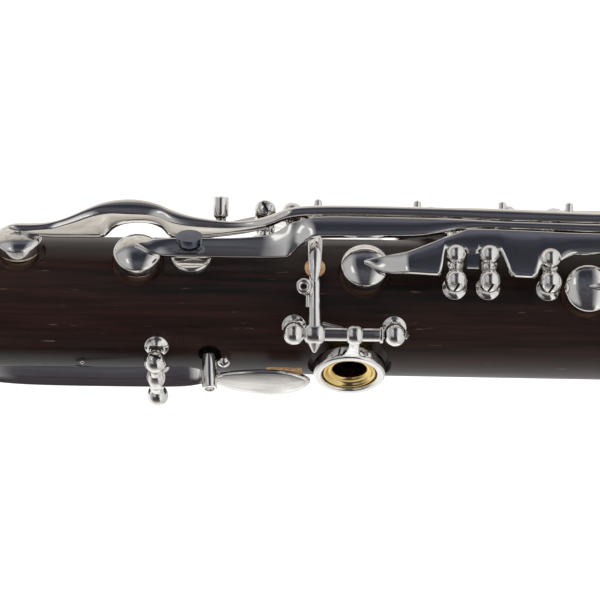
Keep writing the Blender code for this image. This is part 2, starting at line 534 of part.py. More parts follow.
def build_trill_keys():
    for k in range(3):
        z, th = TRILL_CUPS[k]
        axle = TRILL_AXLE_Z[k]
        ends = cross_ends(axle, TRILL_TH)
        solids = [bar(TRILL_BARS[k]), cup(z, th, lift=SIDE_LIFT, solid=False), saddle(axle, TRILL_SADDLES[k])]
        if k == 0:
            solids.append(bar(ARCH_WING, 1.0))
        mid = (pt(TRILL_TH[0], R_HINGE, axle) + pt(TRILL_TH[1], R_HINGE, axle)) / 2
        hinged("side_key_%d" % (k + 1), ends[0], ends[1], solids, mid)
        make("side_key_%d_pad" % (k + 1), "felt", [pad(z, th, lift=SIDE_LIFT)])
        make("side_key_%d_pivot" % (k + 1), "silver", cross_pivot(axle, TRILL_TH))
    z, th = TRILL_CUPS[3]
    lever = plate([(pt(a, r, q), pt(b, s, q)) for q, a, r, b, s in (
        (384.4, 71.2, 19.0, 72.8, 19.0), (380.5, 69.0, 19.4, 75.0, 19.4), (374.0, 67.0, 19.7, 76.0, 19.7), (366.0, 65.0, 19.7, 76.0, 19.7), (357.0, 64.0, 19.6, 77.0, 19.6),
        (350.0, 64.0, 20.2, 80.0, 20.2), (340.0, 64.0, 20.2, 80.0, 20.2), (337.0, 67.0, 19.8, 77.0, 19.8))])
    mid = (pt(FOURTH_TH[0], R_HINGE, FOURTH_AXLE_Z) + pt(FOURTH_TH[1], R_HINGE, FOURTH_AXLE_Z)) / 2
    ends = cross_ends(FOURTH_AXLE_Z, FOURTH_TH)
    hinged("side_key_4", ends[0], ends[1], [lever, cup(z, th, lift=SIDE_LIFT, solid=False)], mid)
    make("side_key_4_pad", "felt", [pad(z, th, lift=SIDE_LIFT)])
    make("side_key_4_pivot", "silver", cross_pivot(FOURTH_AXLE_Z, FOURTH_TH))


# ------------------------------------------------------------------------- keys: the front
THROAT_Z, THROAT_TH = 447.0, (138.0, 206.0)
THROAT_R = 19.2
A_CUP = (462.0, 174.0)
GS_CUP = (463.0, 212.0)


def build_throat_keys():
    mid = (pt(THROAT_TH[0], THROAT_R, THROAT_Z) + pt(THROAT_TH[1], THROAT_R, THROAT_Z)) / 2
    p0, p1 = pt(THROAT_TH[0], THROAT_R, THROAT_Z), pt(THROAT_TH[1], THROAT_R, THROAT_Z)
    d = (p1 - p0).normalized()
    length = (p1 - p0).length
    split = 0.56

    def span(k0, k1):
        return p0 + d * (length * k0), p0 + d * (length * k1)

    e = (BALL_R + GAP) / length

    def lever(stations):
        return plate([(pt(c - w, r, z), pt(c + w, r, z)) for z, c, w, r in stations])

    a_lever = lever([(A_CUP[0] - 0.5, 174, 4.5, 18.2), (457, 171, 5.5, 18.9), (THROAT_Z, 163, 6.0, 18.3), (440, 174, 7, 19.4), (433, 178, 12, 19.7), (425, 178, 12, 19.4), (422.5, 178, 7, 19.0)])
    ends = span(e, split - 0.15 / length)
    hinged("throat_a_key", ends[0], ends[1], [a_lever, cup(A_CUP[0], A_CUP[1], 4.6)], mid)
    g_lever = lever([(GS_CUP[0] - 0.5, 211, 5, 18.0), (457, 206, 6, 18.8), (THROAT_Z, 192, 6, 18.5), (441, 197, 7, 19.4), (436, 206, 8, 19.8), (427, 210, 11, 19.8), (424, 210, 7, 19.4)])
    ends = span(split + 0.15 / length + 0.01, 1 - e)
    hinged("throat_g_sharp_key", ends[0], ends[1], [g_lever, cup(GS_CUP[0], GS_CUP[1], 4.4)], mid)
    make("throat_keys_pivot", "silver", cross_pivot(THROAT_Z, THROAT_TH, THROAT_R))


UP_STACK_POSTS = (441.6, 399.0, 350.0)
BRIDGE_CUP = (377.0, 166.0)
RING_TOP = 16.6


def ring_arm(z, th=STACK_TH, r=R_HINGE, to=162.0):
    """From the hinge line to a ring round a finger hole at 180."""
    return strap([(th, r + 0.9, z, 3.2), (150, 18.4, z, 3.0), (to - 2.0, 17.4, z, 4.0)], 2.0)


def build_upper_stack():
    th, r = STACK_TH, R_HINGE
    e = BALL_R + GAP
    # First finger: ring, vent pad and the tail that the thumb ring's arm lifts.
    z0, z1 = UP_STACK_POSTS[1] + e, UP_STACK_POSTS[0] - e
    tail = strap([(th, r + 0.9, 437.0, 2.6), (124, 18.9, 437.0, 2.6), (108, 18.5, 437.0, 2.8), (92, 18.1, 437.0, 2.6), (80, 17.7, 437.0, 2.0), (73, 17.5, 437.0, 1.0)], 1.1)
    hinged("upper_ring_key", pt(th, r, z0), pt(th, r, z1), [ring(L1_Z, 180, RING_TOP, 6.9, 5.3), ring_arm(L1_Z), tail], pt(th, r, L1_Z))
    # Second finger: ring, pad and the bridge to the lower joint.
    z0, z1 = UP_STACK_POSTS[2] + e, UP_STACK_POSTS[1] - e
    cup_arm = strap([(th, r + 0.9, BRIDGE_CUP[0], 2.6), (152, 18.9, BRIDGE_CUP[0], 2.4), (BRIDGE_CUP[1], 18.5, BRIDGE_CUP[0], 2.4)], 1.5)
    bridge = plate([(pt(125, 21.0, 357.5), pt(132, 21.0, 357.5)), (pt(125, 22.8, 348.0), pt(132, 22.8, 348.0)), (pt(125, 22.8, 326.0), pt(132, 22.8, 326.0))])
    root = strap([(th, r + 0.9, 356.0, 3.2), (133, 20.8, 356.0, 3.2), (126, 21.0, 356.0, 3.2)], 1.4)
    hinged("bridge_ring_key", pt(th, r, z0), pt(th, r, z1),
           [ring(L2_Z, 180, RING_TOP, 6.9, 5.3), ring_arm(L2_Z), cup_arm, cup(BRIDGE_CUP[0], BRIDGE_CUP[1], 4.4, lift=1.0), root, bridge], pt(th, r, L2_Z))
    make("upper_ring_keys_pivot", "silver", axial_pivot(th, UP_STACK_POSTS))


def side_lever(name, th, zs, solids, r=R_HINGE):
    """A key on a hinge parallel to the body; zs are the ends of its tube."""
    return hinged(name, pt(th, r, zs[0]), pt(th, r, zs[1]), solids, pt(th, r, (zs[0] + zs[1]) / 2))


SLIVER_TH = 228.0
EB_CUP = (366.0, 251.0)
BF_CUP = (254.0, 247.0)
CS_CUP = (344.0, 224.0)


def build_upper_left():
    e = BALL_R + GAP
    # Sliver key between the second and third fingers.
    posts = (384.0, 360.0)
    touch = strap([(SLIVER_TH, R_HINGE + 0.9, 375.5, 3.0), (214, 18.9, 375.5, 3.0), (204, 18.2, 376.0, 5.5), (192, 17.9, 376.0, 5.5), (187, 17.8, 376.0, 3.0)], 1.4)
    arm = strap([(SLIVER_TH, R_HINGE + 0.9, EB_CUP[0], 2.6), (240, 18.6, EB_CUP[0], 2.6), (EB_CUP[1], 17.2, EB_CUP[0], 2.4)], 1.6)
    side_lever("sliver_key_e_flat", SLIVER_TH, (posts[1] + e, posts[0] - e), [touch, arm, cup(EB_CUP[0], EB_CUP[1], 4.2)])
    make("sliver_key_e_flat_pivot", "silver", axial_pivot(SLIVER_TH, posts))
    # C sharp / G sharp key for the left little finger.
    th, posts = 262.0, (356.0, 336.0)
    arm = strap([(th, R_HINGE + 0.9, CS_CUP[0], 3.0), (248, 19.2, CS_CUP[0], 2.8), (236, 18.3, CS_CUP[0], 2.6), (CS_CUP[1], 17.4, CS_CUP[0], 2.4)], 1.5)
    touch = strap([(th, R_HINGE + 0.9, 347.0, 3.4), (272, 20.6, 347.0, 4.0), (282, 21.2, 347.0, 9.0), (300, 21.2, 347.0, 9.0), (306, 21.0, 347.0, 5.0)], 1.4)
    side_lever("c_sharp_key", th, (posts[1] + e, posts[0] - e), [arm, touch, cup(CS_CUP[0], CS_CUP[1], 5.0)])
    make("c_sharp_key_pivot", "silver", axial_pivot(th, posts))


LOW_STACK_POSTS = (309.5, 236.0)
EB_LOW, FS_LOW = (148.0, 181.0), (180.0, 183.0)


def build_lower_stack():
    th, r = STACK_TH, R_HINGE + 0.6
    e = BALL_R + GAP
    z0, z1 = LOW_STACK_POSTS[1] + e, LOW_STACK_POSTS[0] - e
    solids = []
    for z in (R1_Z, R2_Z, R3_Z):
        solids.append(ring(z, 180, 17.0, 6.9, 5.3))
        solids.append(strap([(th, r + 0.9, z, 3.2), (150, 18.8, z, 3.0), (160, 17.8, z, 4.0)], 2.0))
    # The bridge lies under the end of the upper joint's and lifts it.
    root = strap([(th, r + 0.9, 304.5, 3.2), (132, 21.6, 304.5, 3.2), (124, 21.8, 304.5, 3.2)], 1.6)
    bridge = plate([(pt(124, 21.8, 303.3), pt(132, 21.8, 303.3)), (pt(124, 20.6, 316.0), pt(132, 20.6, 316.0)), (pt(124, 20.6, 337.0), pt(132, 20.6, 337.0))])
    hinged("lower_ring_key", pt(th, r, z0), pt(th, r, z1), solids + [root, bridge], pt(th, r, R2_Z))
    make("lower_ring_key_pivot", "silver", axial_pivot(th, LOW_STACK_POSTS, r))
    # Sliver key between the second and third fingers of the right hand.
    posts = (273.0, 246.0)
    touch = strap([(SLIVER_TH, r + 0.9, 262.5, 3.0), (214, 19.5, 262.5, 3.0), (204, 18.7, 262.5, 5.5), (192, 18.3, 262.5, 5.5), (187, 18.2, 262.5, 3.0)], 1.4)
    arm = strap([(SLIVER_TH, r + 0.9, BF_CUP[0], 2.6), (240, 19.2, BF_CUP[0], 2.6), (BF_CUP[1], 17.7, BF_CUP[0], 2.4)], 1.6)
    side_lever("sliver_key_b", SLIVER_TH, (posts[1] + e, posts[0] - e), [touch, arm, cup(BF_CUP[0], BF_CUP[1], 4.4)], r)
    make("sliver_key_b_pivot", "silver", axial_pivot(SLIVER_TH, posts, r))


LINE_E, LINE_F = 222.0, 241.0           # hinge lines on the left of the lower joint
LEFT_E, LEFT_F = 262.0, 281.0           # hinge lines of the left-hand levers
AB_TH = 62.0
R_LOW = R_HINGE + 0.8
E_POSTS, F_SHARP_POSTS = (137.0, 224.7, 239.2), (170.0, 216.5)
F_TUBE = (227.2, 236.7)
AB_TUBE = (196.0, 226.0)
TAIL_E_Z, TAIL_F_Z = 221.0, 187.0
F_CUP, AB_CUP = (229.0, 180.0), (200.0, 34.0)


def build_little_finger_keys():
    e = BALL_R + GAP
    r = R_LOW

    def paddle(z, z_arm, top, length=11.0, to=98.0):
        return [(126, top, (z_arm + z) / 2, length), (112, top + 0.1, z, length), (to, top - 0.1, z, length), (to - 4, top - 0.4, z, length * 0.6)]

    def key(name, line, posts, z_arm, touch_z, cup_at, tail_z, crest):
        """A key hinged on the left: an arm over the front to its touch on the right, a pad arm and a tail."""
        top = 21.6 + crest
        arm = [(line, r + 0.9, z_arm, 2.8), (line - 9, top - 0.4, z_arm, 2.8)]
        arm += [(line - 9 + (141 - line) * k / 5, top, z_arm, 2.8) for k in range(1, 6)]
        first = line - 8
        pad_arm = [(line, r + 0.9, cup_at[0], 3.0), (first, 20.8 + crest * 1.6, cup_at[0], 3.0)]
        if crest:
            pad_arm.append((first - 21, 23.2, cup_at[0], 3.0))
        pad_arm += [(cup_at[1] + 12, 20.4, cup_at[0], 2.8), (cup_at[1], 19.2, cup_at[0], 2.6)]
        tail = [(line, r + 0.9, tail_z, 2.4), (line + 10.5, r + 2.2, tail_z, 2.2), (line + 21, r + 2.2, tail_z, 2.2)]
        side_lever(name, line, (posts[0] + e, posts[1] - e),
                   [strap(arm + paddle(touch_z, z_arm, top + 0.3), 1.5), strap(pad_arm, 1.7), cup(cup_at[0], cup_at[1], 6.0, lift=1.0), strap(tail, 1.2)], r)

    key("e_key", LINE_E, E_POSTS[:2], 204.0, 204.0, EB_LOW, TAIL_E_Z, 0.0)
    key("f_sharp_key", LINE_F, F_SHARP_POSTS, 196.0, 190.0, FS_LOW, TAIL_F_Z, 1.6)
    z = F_CUP[0]
    arm = [(LINE_E, r + 0.9, z, 2.8), (213, 20.9, z, 2.8), (196, 20.6, z, 2.8), (180, 20.0, z, 2.8), (165, 20.6, z, 2.8), (150, 21.3, z, 2.8), (134, 21.6, z, 2.8)]
    side_lever("f_key", LINE_E, F_TUBE, [strap(arm + paddle(222.0, z, 21.9, to=101.0), 1.5), cup(z, F_CUP[1], 5.2, lift=1.0)], r)
    make("e_key_pivot", "silver", axial_pivot(LINE_E, E_POSTS, r))
    make("f_sharp_key_pivot", "silver", axial_pivot(LINE_F, F_SHARP_POSTS, r))
    # A flat / E flat: hinged at the back, its touch and its pad on either side of the hinge.
    touch = [(AB_TH, r + 0.9, 221.0, 3.0), (70, 21.2, 221.0, 6.0), (74, 21.5, 220.5, 12.0), (84, 21.5, 220.5, 12.0), (87, 21.3, 220.5, 8.0)]
    pad_arm = [(AB_TH, r + 0.9, AB_CUP[0], 2.8), (50, 20.0, AB_CUP[0], 2.8), (AB_CUP[1], 18.0, AB_CUP[0], 2.6)]
    side_lever("e_flat_key", AB_TH, AB_TUBE, [strap(touch, 1.5), strap(pad_arm, 1.7), cup(AB_CUP[0], AB_CUP[1], 5.0)], r)
    make("e_flat_key_pivot", "silver", axial_pivot(AB_TH, (AB_TUBE[0] - e, AB_TUBE[1] + e), r))
    # Left-hand levers: each lifts the tail of its key.
    for name, line, tail_z, touch_z, zs in (("left_e_lever", LEFT_E, TAIL_E_Z, 305.0, (217.5, 307.0)), ("left_f_sharp_lever", LEFT_F, TAIL_F_Z, 281.0, (185.5, 284.0))):
        arm = [(line, r + 0.9, tail_z, 2.2), (line - 10, 20.1, tail_z, 2.2), (line - 22, 20.0, tail_z, 2.2)]
        touch = [(line, r + 0.9, touch_z, 3.2), (line + 8, 21.4, touch_z, 5.0), (line + 13, 22.0, touch_z + 1, 11.0), (line + 28, 22.0, touch_z + 1, 11.0), (line + 32, 21.8, touch_z + 1, 7.0)]
        side_lever(name, line, zs, [strap(arm, 1.3), strap(touch, 1.5)], r)
        make(name + "_pivot", "silver", axial_pivot(line, (zs[0] - e, zs[1] + e), r))


def build_all():
    build_bell()
    build_lower_joint()
    build_upper_joint()
    build_barrel()
    build_mouthpiece()
    build_thumb_rest()
    build_register_key()
    build_thumb_ring_key()
    build_trill_keys()
    build_throat_keys()
    build_upper_stack()
    build_upper_left()
    build_lower_stack()
    build_little_finger_keys()


# Pad seats: (z, th, cup radius, half of the hole).
UPPER_SEATS = [(z, th, CUP_R, 2.4) for z, th in TRILL_CUPS] + [
    (REG_CUP_Z, 1.5, 4.4, 1.4), (A_CUP[0], A_CUP[1], 4.6, 2.4), (GS_CUP[0], GS_CUP[1], 4.4, 2.3), (BRIDGE_CUP[0], BRIDGE_CUP[1], 4.4, 2.4),
    (EB_CUP[0], EB_CUP[1], 4.2, 2.4), (CS_CUP[0], CS_CUP[1], 5.0, 3.0),
]
LOWER_SEATS = [(BF_CUP[0], BF_CUP[1], 4.4, 2.6), (EB_LOW[0], EB_LOW[1], 6.0, 4.0), (FS_LOW[0], FS_LOW[1], 6.0, 4.0),
               (F_CUP[0], F_CUP[1], 5.2, 3.6), (AB_CUP[0], AB_CUP[1], 5.0, 3.2)]

clear_scene()
build_all()
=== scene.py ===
from math import atan, cos, pi, radians, sin
import bmesh
import bpy
from mathutils import Matrix, Vector


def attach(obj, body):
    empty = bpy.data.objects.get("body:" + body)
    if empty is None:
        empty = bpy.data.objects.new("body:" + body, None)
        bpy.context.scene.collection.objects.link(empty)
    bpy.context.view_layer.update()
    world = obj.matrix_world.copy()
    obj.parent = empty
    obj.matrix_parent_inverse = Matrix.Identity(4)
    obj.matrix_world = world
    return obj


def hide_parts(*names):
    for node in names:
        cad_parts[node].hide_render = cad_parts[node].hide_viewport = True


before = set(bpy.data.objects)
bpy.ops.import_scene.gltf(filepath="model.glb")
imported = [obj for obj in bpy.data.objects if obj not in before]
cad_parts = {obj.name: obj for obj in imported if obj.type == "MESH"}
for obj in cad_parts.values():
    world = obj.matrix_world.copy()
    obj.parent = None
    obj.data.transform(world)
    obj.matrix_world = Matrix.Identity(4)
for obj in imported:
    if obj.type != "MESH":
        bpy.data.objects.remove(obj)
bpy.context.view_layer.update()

MM = 0.001
ZERO, X, Y, UP = Vector((0, 0, 0)), Vector((1, 0, 0)), Vector((0, 1, 0)), Vector((0, 0, 1))

# ---------------------------------------------------------------- dimensions of the frame
Z_BELL_TOP, Z_MID, Z_BARREL, Z_MOUTH, Z_TIP = 106.0, 332.0, 527.0, 593.0, 665.0
GAP = 0.3
R_BORE = 7.35
R_UP_LOW, R_UP_TOP = 13.95, 13.20
R_LOW_TOP, R_LOW_LOW = 14.00, 14.70
TENON_R, SOCKET_R = 11.1, 11.4
BELL_TENON_R, BELL_SOCKET_R = 12.8, 13.1
R_HINGE, TUBE_R, BALL_R, ROD_R = 18.7, 1.35, 2.2, 0.75
TUBE_END = BALL_R + 0.1           # from a ball's centre to the end of a hinge tube
PLATE = 1.3
TRILL_AXLES = (409.8, 403.3, 391.6)
TRILL_TH = (74.0, 126.0)
BAR_TH, BAR_A = 87.0, 20.4
CUP_R = 4.65
TRILL_CUPS = ((495.1, 107.4), (471.6, 94.8), (427.3, 86.5), (384.0, 72.0))
SIDE_TH = 57.0
FOURTH_AXLE, FOURTH_TH = 361.0, (50.0, 91.0)
THUMB_Z, THUMB_TH, THUMB_POSTS = 429.9, 41.0, (440.9, 421.4)
REG_Z, REG_TH, REG_CUP_Z = 467.7, (20.8, -16.0), 507.0
THROAT_Z, THROAT_TH, THROAT_R = 447.0, (138.0, 206.0), 19.2
A_CUP, GS_CUP = (462.0, 174.0), (463.0, 212.0)
L_HOLES, R_HOLES, HOLE_R = (414.0, 389.5, 362.5), (299.0, 276.0, 249.0), 3.9
RING_OUT, RING_IN, RING_TOP = 6.9, 5.3, 16.6
STACK_TH, UP_POSTS, LOW_POSTS = 141.0, (441.6, 399.0, 350.0), (309.5, 236.0)
BRIDGE_CUP = (377.0, 166.0)
SLIVER_TH, EB_CUP, BF_CUP, CS_CUP = 228.0, (366.0, 251.0), (254.0, 247.0), (344.0, 224.0)
LINE_E, LINE_F, LEFT_E, LEFT_F, AB_TH, R_LOW = 222.0, 241.0, 262.0, 281.0, 62.0, 19.5
E_POSTS, FS_POSTS, F_TUBE, AB_TUBE = (137, 224.7, 239.2), (170, 216.5), (227.2, 236.7), (196, 226)
EB_LOW, FS_LOW, F_CUP, AB_CUP = (148.0, 181.0), (180.0, 183.0), (229.0, 180.0), (200.0, 34.0)
CS_TH, CS_POSTS, EB_POSTS, BF_POSTS = 262.0, (356.0, 336.0), (384.0, 360.0), (273.0, 246.0)
TAIL_E, TAIL_F = 221.0, 187.0


def pt(th, r, z):
    """A point by its angle round the bore, distance from its axis and height."""
    t = radians(th)
    return Vector((-r * sin(t), r * cos(t), z))


def outward(th):
    return pt(th, 1.0, 0.0)


def along(th):
    """The direction round the body at th, towards larger th."""
    t = radians(th)
    return Vector((-cos(t), -sin(t), 0.0))


def on_bars(z, a, b):
    """A point of the side keys' bars: a is out from the bore's axis at BAR_TH, b is round it."""
    return outward(BAR_TH) * a + along(BAR_TH) * b + UP * z


def body_r(z):
    if z >= Z_MID:
        return R_UP_LOW + (R_UP_TOP - R_UP_LOW) * (z - Z_MID) / (Z_BARREL - Z_MID)
    return R_LOW_LOW + (R_LOW_TOP - R_LOW_LOW) * (z - Z_BELL_TOP) / (Z_MID - Z_BELL_TOP)


# -------------------------------------------------------------------------------- materials
def nodes_of(name):
    mat = bpy.data.materials.new(name)
    mat.use_nodes = True
    tree = mat.node_tree
    return mat, tree, tree.nodes["Principled BSDF"]


def noise(tree, scale, stretch=(1, 1, 1), detail=4.0, rough=0.55):
    """Noise over the object in metres, stretched by a factor along each axis."""
    place = tree.nodes.new("ShaderNodeTexCoord")
    mapping = tree.nodes.new("ShaderNodeMapping")
    mapping.inputs["Scale"].default_value = stretch
    tree.links.new(place.outputs["Object"], mapping.inputs["Vector"])
    tex = tree.nodes.new("ShaderNodeTexNoise")
    tex.inputs["Scale"].default_value = scale
    tex.inputs["Detail"].default_value = detail
    tex.inputs["Roughness"].default_value = rough
    tree.links.new(mapping.outputs["Vector"], tex.inputs["Vector"])
    return tex.outputs["Fac"]


def ramp(tree, source, stops):
    """Colours picked by a value. A stop is (value, colour)."""
    node = tree.nodes.new("ShaderNodeValToRGB")
    bar = node.color_ramp
    while len(bar.elements) < len(stops):
        bar.elements.new(0.5)
    for element, (at, colour) in zip(bar.elements, stops):
        element.position = at
        element.color = colour if len(colour) == 4 else (*colour, 1)
    tree.links.new(source, node.inputs["Fac"])
    return node.outputs["Color"]


def mixed(tree, a, b, fac, mode="MIX"):
    node = tree.nodes.new("ShaderNodeMix")
    node.data_type = "RGBA"
    node.blend_type = mode
    for value, socket in ((fac, node.inputs[0]), (a, node.inputs[6]), (b, node.inputs[7])):
        if isinstance(value, bpy.types.NodeSocket):
            tree.links.new(value, socket)
        else:
            socket.default_value = value
    return node.outputs[2]


def spread(tree, source, low, high, from_low=0.3, from_high=0.7):
    """Stretches a value from one range to another."""
    node = tree.nodes.new("ShaderNodeMapRange")
    for key, value in (("From Min", from_low), ("From Max", from_high), ("To Min", low), ("To Max", high)):
        node.inputs[key].default_value = value
    tree.links.new(source, node.inputs["Value"])
    return node.outputs["Result"]


def bump(tree, shader, height, strength, distance):
    node = tree.nodes.new("ShaderNodeBump")
    node.inputs["Strength"].default_value = strength
    node.inputs["Distance"].default_value = distance
    tree.links.new(height, node.inputs["Height"])
    tree.links.new(node.outputs["Normal"], shader.inputs["Normal"])


def wood(name, dark, brown, pale, rough=(0.30, 0.42), streak=0.5):
    """Dense turned wood: fine grain along the bore, reddish streaks and short pale pores."""
    mat, tree, shader = nodes_of(name)
    broad = noise(tree, 60, (1, 1, 0.10), 3.0)
    fine = noise(tree, 900, (1, 1, 0.045), 5.0, 0.6)
    base = ramp(tree, broad, ((0.36, dark), (0.50, brown), (0.66, dark)))
    grain = ramp(tree, fine, ((0.42, dark), (0.60, brown)))
    colour = mixed(tree, base, grain, streak)
    pores = ramp(tree, noise(tree, 1500, (1, 1, 0.10), 2, 0.5), ((0.70, (0, 0, 0)), (0.78, (1, 1, 1))))
    colour = mixed(tree, colour, (*pale, 1), pores)
    tree.links.new(colour, shader.inputs["Base Color"])
    tree.links.new(spread(tree, fine, rough[0], rough[1]), shader.inputs["Roughness"])
    shader.inputs["IOR"].default_value = 1.44
    bump(tree, shader, fine, 0.10, 0.00006)
    return mat


def metal(name, colour, tint, rough=(0.05, 0.11)):
    """Polished plate: a little uneven tone, hairline wear in the gloss."""
    mat, tree, shader = nodes_of(name)
    cloud = noise(tree, 130, (1, 1, 1), 3.0)
    hair = noise(tree, 1600, (1, 1, 0.12), 4.0, 0.65)
    tone = ramp(tree, cloud, ((0.34, tint), (0.58, colour)))
    tree.links.new(tone, shader.inputs["Base Color"])
    shader.inputs["Metallic"].default_value = 1.0
    tree.links.new(spread(tree, hair, rough[0], rough[1], 0.35, 0.68), shader.inputs["Roughness"])
    bump(tree, shader, hair, 0.10, 0.00002)
    return mat


def soft(name, low, high, scale, rough, depth, stretch=(1, 1, 1)):
    """Cork, felt, skin or cane: mottled colour and a bumpy matte surface."""
    mat, tree, shader = nodes_of(name)
    speck = noise(tree, scale, stretch, 6.0, 0.7)
    tree.links.new(ramp(tree, speck, ((0.36, low), (0.62, high))), shader.inputs["Base Color"])
    tree.links.new(spread(tree, speck, rough - 0.08, min(1.0, rough + 0.08)), shader.inputs["Roughness"])
    bump(tree, shader, speck, 0.6, depth)
    return mat


GRENADILLA = wood("grenadilla", (0.0048, 0.0036, 0.0037), (0.030, 0.0105, 0.0075), (0.12, 0.085, 0.07),
                  (0.34, 0.46))
BARE_WOOD = wood("grenadilla_cut", (0.045, 0.024, 0.018), (0.105, 0.055, 0.040), (0.16, 0.11, 0.085),
                 (0.42, 0.55))
HARD_RUBBER = wood("ebonite", (0.0055, 0.0055, 0.006), (0.009, 0.009, 0.0095), (0.02, 0.02, 0.02),
                   (0.10, 0.16), 0.3)
SILVER = metal("silver_plate", (0.93, 0.915, 0.89), (0.86, 0.845, 0.82))
BRASS = metal("brass", (0.88, 0.66, 0.27), (0.76, 0.52, 0.18), (0.10, 0.20))
STEEL = metal("steel", (0.62, 0.62, 0.64), (0.50, 0.50, 0.52), (0.16, 0.28))
# Painted shade and dark reflection: dark blue-grey metal used only for the hollow of the guide's dish
DISH_SHADE_METAL = metal("dish_painted_shade", (0.16, 0.17, 0.21), (0.09, 0.10, 0.14), (0.18, 0.30))
# Painted shade: near-black colour on the faces of small hollows, where shade falls inside them
PAINTED_SHADE = soft("painted_shade_in_recesses", (0.004, 0.004, 0.004), (0.012, 0.010, 0.009), 900, 0.6, 0.00002)
CORK = soft("cork", (0.36, 0.19, 0.085), (0.68, 0.44, 0.25), 1500, 0.85, 0.00006)
SKIN = soft("pad_skin", (0.52, 0.42, 0.30), (0.74, 0.65, 0.52), 900, 0.7, 0.00003)
CANE = soft("cane", (0.62, 0.45, 0.20), (0.86, 0.72, 0.42), 800, 0.5, 0.00003, (1, 1, 0.03))


# ------------------------------------------------------------------------- solid primitives
# A solid is (points, faces) in millimetres.
def bend(a, b, c, t):
    return a * ((1 - t) ** 2) + b * (2 * t * (1 - t)) + c * (t * t)


def fillet(points, reach, closed, steps=3):
    """Rounds the corners of a line of points. reach is a distance for each of them."""
    out = []
    for i, p in enumerate(points):
        e = reach[i]
        if e <= 0 or (not closed and i in (0, len(points) - 1)):
            out.append(p)
            continue
        a, c = points[i - 1], points[(i + 1) % len(points)]
        a = p.lerp(a, min(0.48, e / max((a - p).length, 1e-6)))
        c = p.lerp(c, min(0.48, e / max((c - p).length, 1e-6)))
        out += [bend(a, p, c, k / steps) for k in range(steps + 1)]
    return out


def arc(height, radius, first, last, count=9):
    """Profile points on a ball: angles in degrees above its equator."""
    out = []
    for k in range(count):
        a = radians(first + (last - first) * k / (count - 1))
        out.append((max(0, radius * cos(a)) if abs(last - 90) > 1e-6 or k < count - 1 else 0,
                    height + radius * sin(a)))
    return out


def revolve(profile, origin=ZERO, axis=UP, seg=48, loop=False):
    """Turns a profile of (radius, height[, rounding]) round an axis."""
    flat = [Vector((p[0], p[1], 0)) for p in profile]
    flat = fillet(flat, [p[2] if len(p) > 2 else 0 for p in profile], loop)
    axis = axis.normalized()
    side = axis.cross(UP)
    side = Vector((1, 0, 0)) if side.length < 1e-6 else side.normalized()
    other = axis.cross(side)
    turns = [side * cos(2 * pi * k / seg) + other * sin(2 * pi * k / seg) for k in range(seg)]
    points, rows = [], []
    for p in flat:
        base = origin + axis * p.y
        if p.x < 1e-6:
            rows.append([len(points)])
            points.append(base)
        else:
            rows.append(list(range(len(points), len(points) + seg)))
            points += [base + t * p.x for t in turns]
    faces = []
    for low, high in list(zip(rows, rows[1:] + rows[:1])) if loop else list(zip(rows, rows[1:])):
        if len(low) == 1 and len(high) == 1:
            continue
        for k in range(seg):
            n = (k + 1) % seg
            if len(low) == 1:
                faces.append((low[0], high[n], high[k]))
            elif len(high) == 1:
                faces.append((low[k], low[n], high[0]))
            else:
                faces.append((low[k], low[n], high[n], high[k]))
    return points, faces


def radial(profile, z, th, seg=48, loop=False):
    """Turned about the line that leaves the bore at z and th. Heights are from the bore's axis."""
    return revolve(profile, UP * z, outward(th), seg, loop)


def rod(p0, p1, radius, seg=28, edge=0.12):
    """A round bar with rounded ends."""
    length = (p1 - p0).length
    return revolve([(0, 0), (radius, 0, edge), (radius, length, edge), (0, length)], p0, p1 - p0, seg)


def loft(sections):
    """A closed solid through polygons with the same number of points."""
    points, faces, count = [], [], len(sections[0])
    for section in sections:
        points += section
    for i in range(len(sections) - 1):
        for k in range(count):
            n = (k + 1) % count
            faces.append((i * count + k, i * count + n, (i + 1) * count + n, (i + 1) * count + k))
    last = (len(sections) - 1) * count
    faces += [tuple(reversed(range(count))), tuple(range(last, last + count))]
    return points, faces


def sweep(stations, reach=4.0, edges=None, steps=5):
    """A bar through polygons of points, rounded along its length and across it."""
    mids = [sum(s, Vector()) / len(s) for s in stations]
    rows = []
    for i, row in enumerate(stations):
        if i in (0, len(stations) - 1):
            rows.append(row)
            continue
        kb = min(0.5, reach / (mids[i - 1] - mids[i]).length)
        ka = min(0.5, reach / (mids[i + 1] - mids[i]).length)
        for s in range(steps + 1):
            rows.append([bend(p.lerp(a, kb), p, p.lerp(c, ka), s / steps)
                         for p, a, c in zip(row, stations[i - 1], stations[i + 1])])
    clean = [rows[0]]
    for row in rows[1:]:
        if max((p - q).length for p, q in zip(row, clean[-1])) > 0.01:
            clean.append(row)
    edges = edges or [0.3] * len(stations[0])
    return loft([fillet(row, edges, True) for row in clean])


BAR_EDGES = [0.35, 9.0, 0.35, 0.25, 0.25]


def plate(stations, thick=PLATE, crown=0.18, reach=4.0, edges=None):
    """A lever along Z. A station is (lower edge, upper edge[, thickness]) of its outer face."""
    rows = []
    for low, high, *own in stations:
        t = own[0] if own else thick
        across = high - low
        normal = Vector((-across.y, across.x, 0)).normalized()
        middle = (low + high) / 2
        if normal.dot(Vector((middle.x, middle.y, 0))) < 0:
            normal = -normal
        rise = min(crown, 0.12 * across.length)
        rows.append([low, middle + normal * rise * 2, high, high - normal * t, low - normal * t])
    return sweep(rows, reach, edges or BAR_EDGES)


def strap(stations, thick=PLATE, crown=0.18, reach=3.0, edges=None):
    """An arm round the body. A station is (th, r of its outer face, z, width[, thickness])."""
    rows = []
    for th, r, z, width, *own in stations:
        t, h = own[0] if own else thick, width / 2
        rise = min(crown, 0.12 * width) * 2
        rows.append([pt(th, r, z - h), pt(th, r + rise, z), pt(th, r, z + h), pt(th, r - t, z + h),
                     pt(th, r - t, z - h)])
    return sweep(rows, reach, edges or BAR_EDGES)


def arm_at(z, stations, thick=PLATE, **more):
    """A strap at one height. A station is (th, r of its outer face, width[, thickness])."""
    return strap([(th, r, z, *size) for th, r, *size in stations], thick, **more)


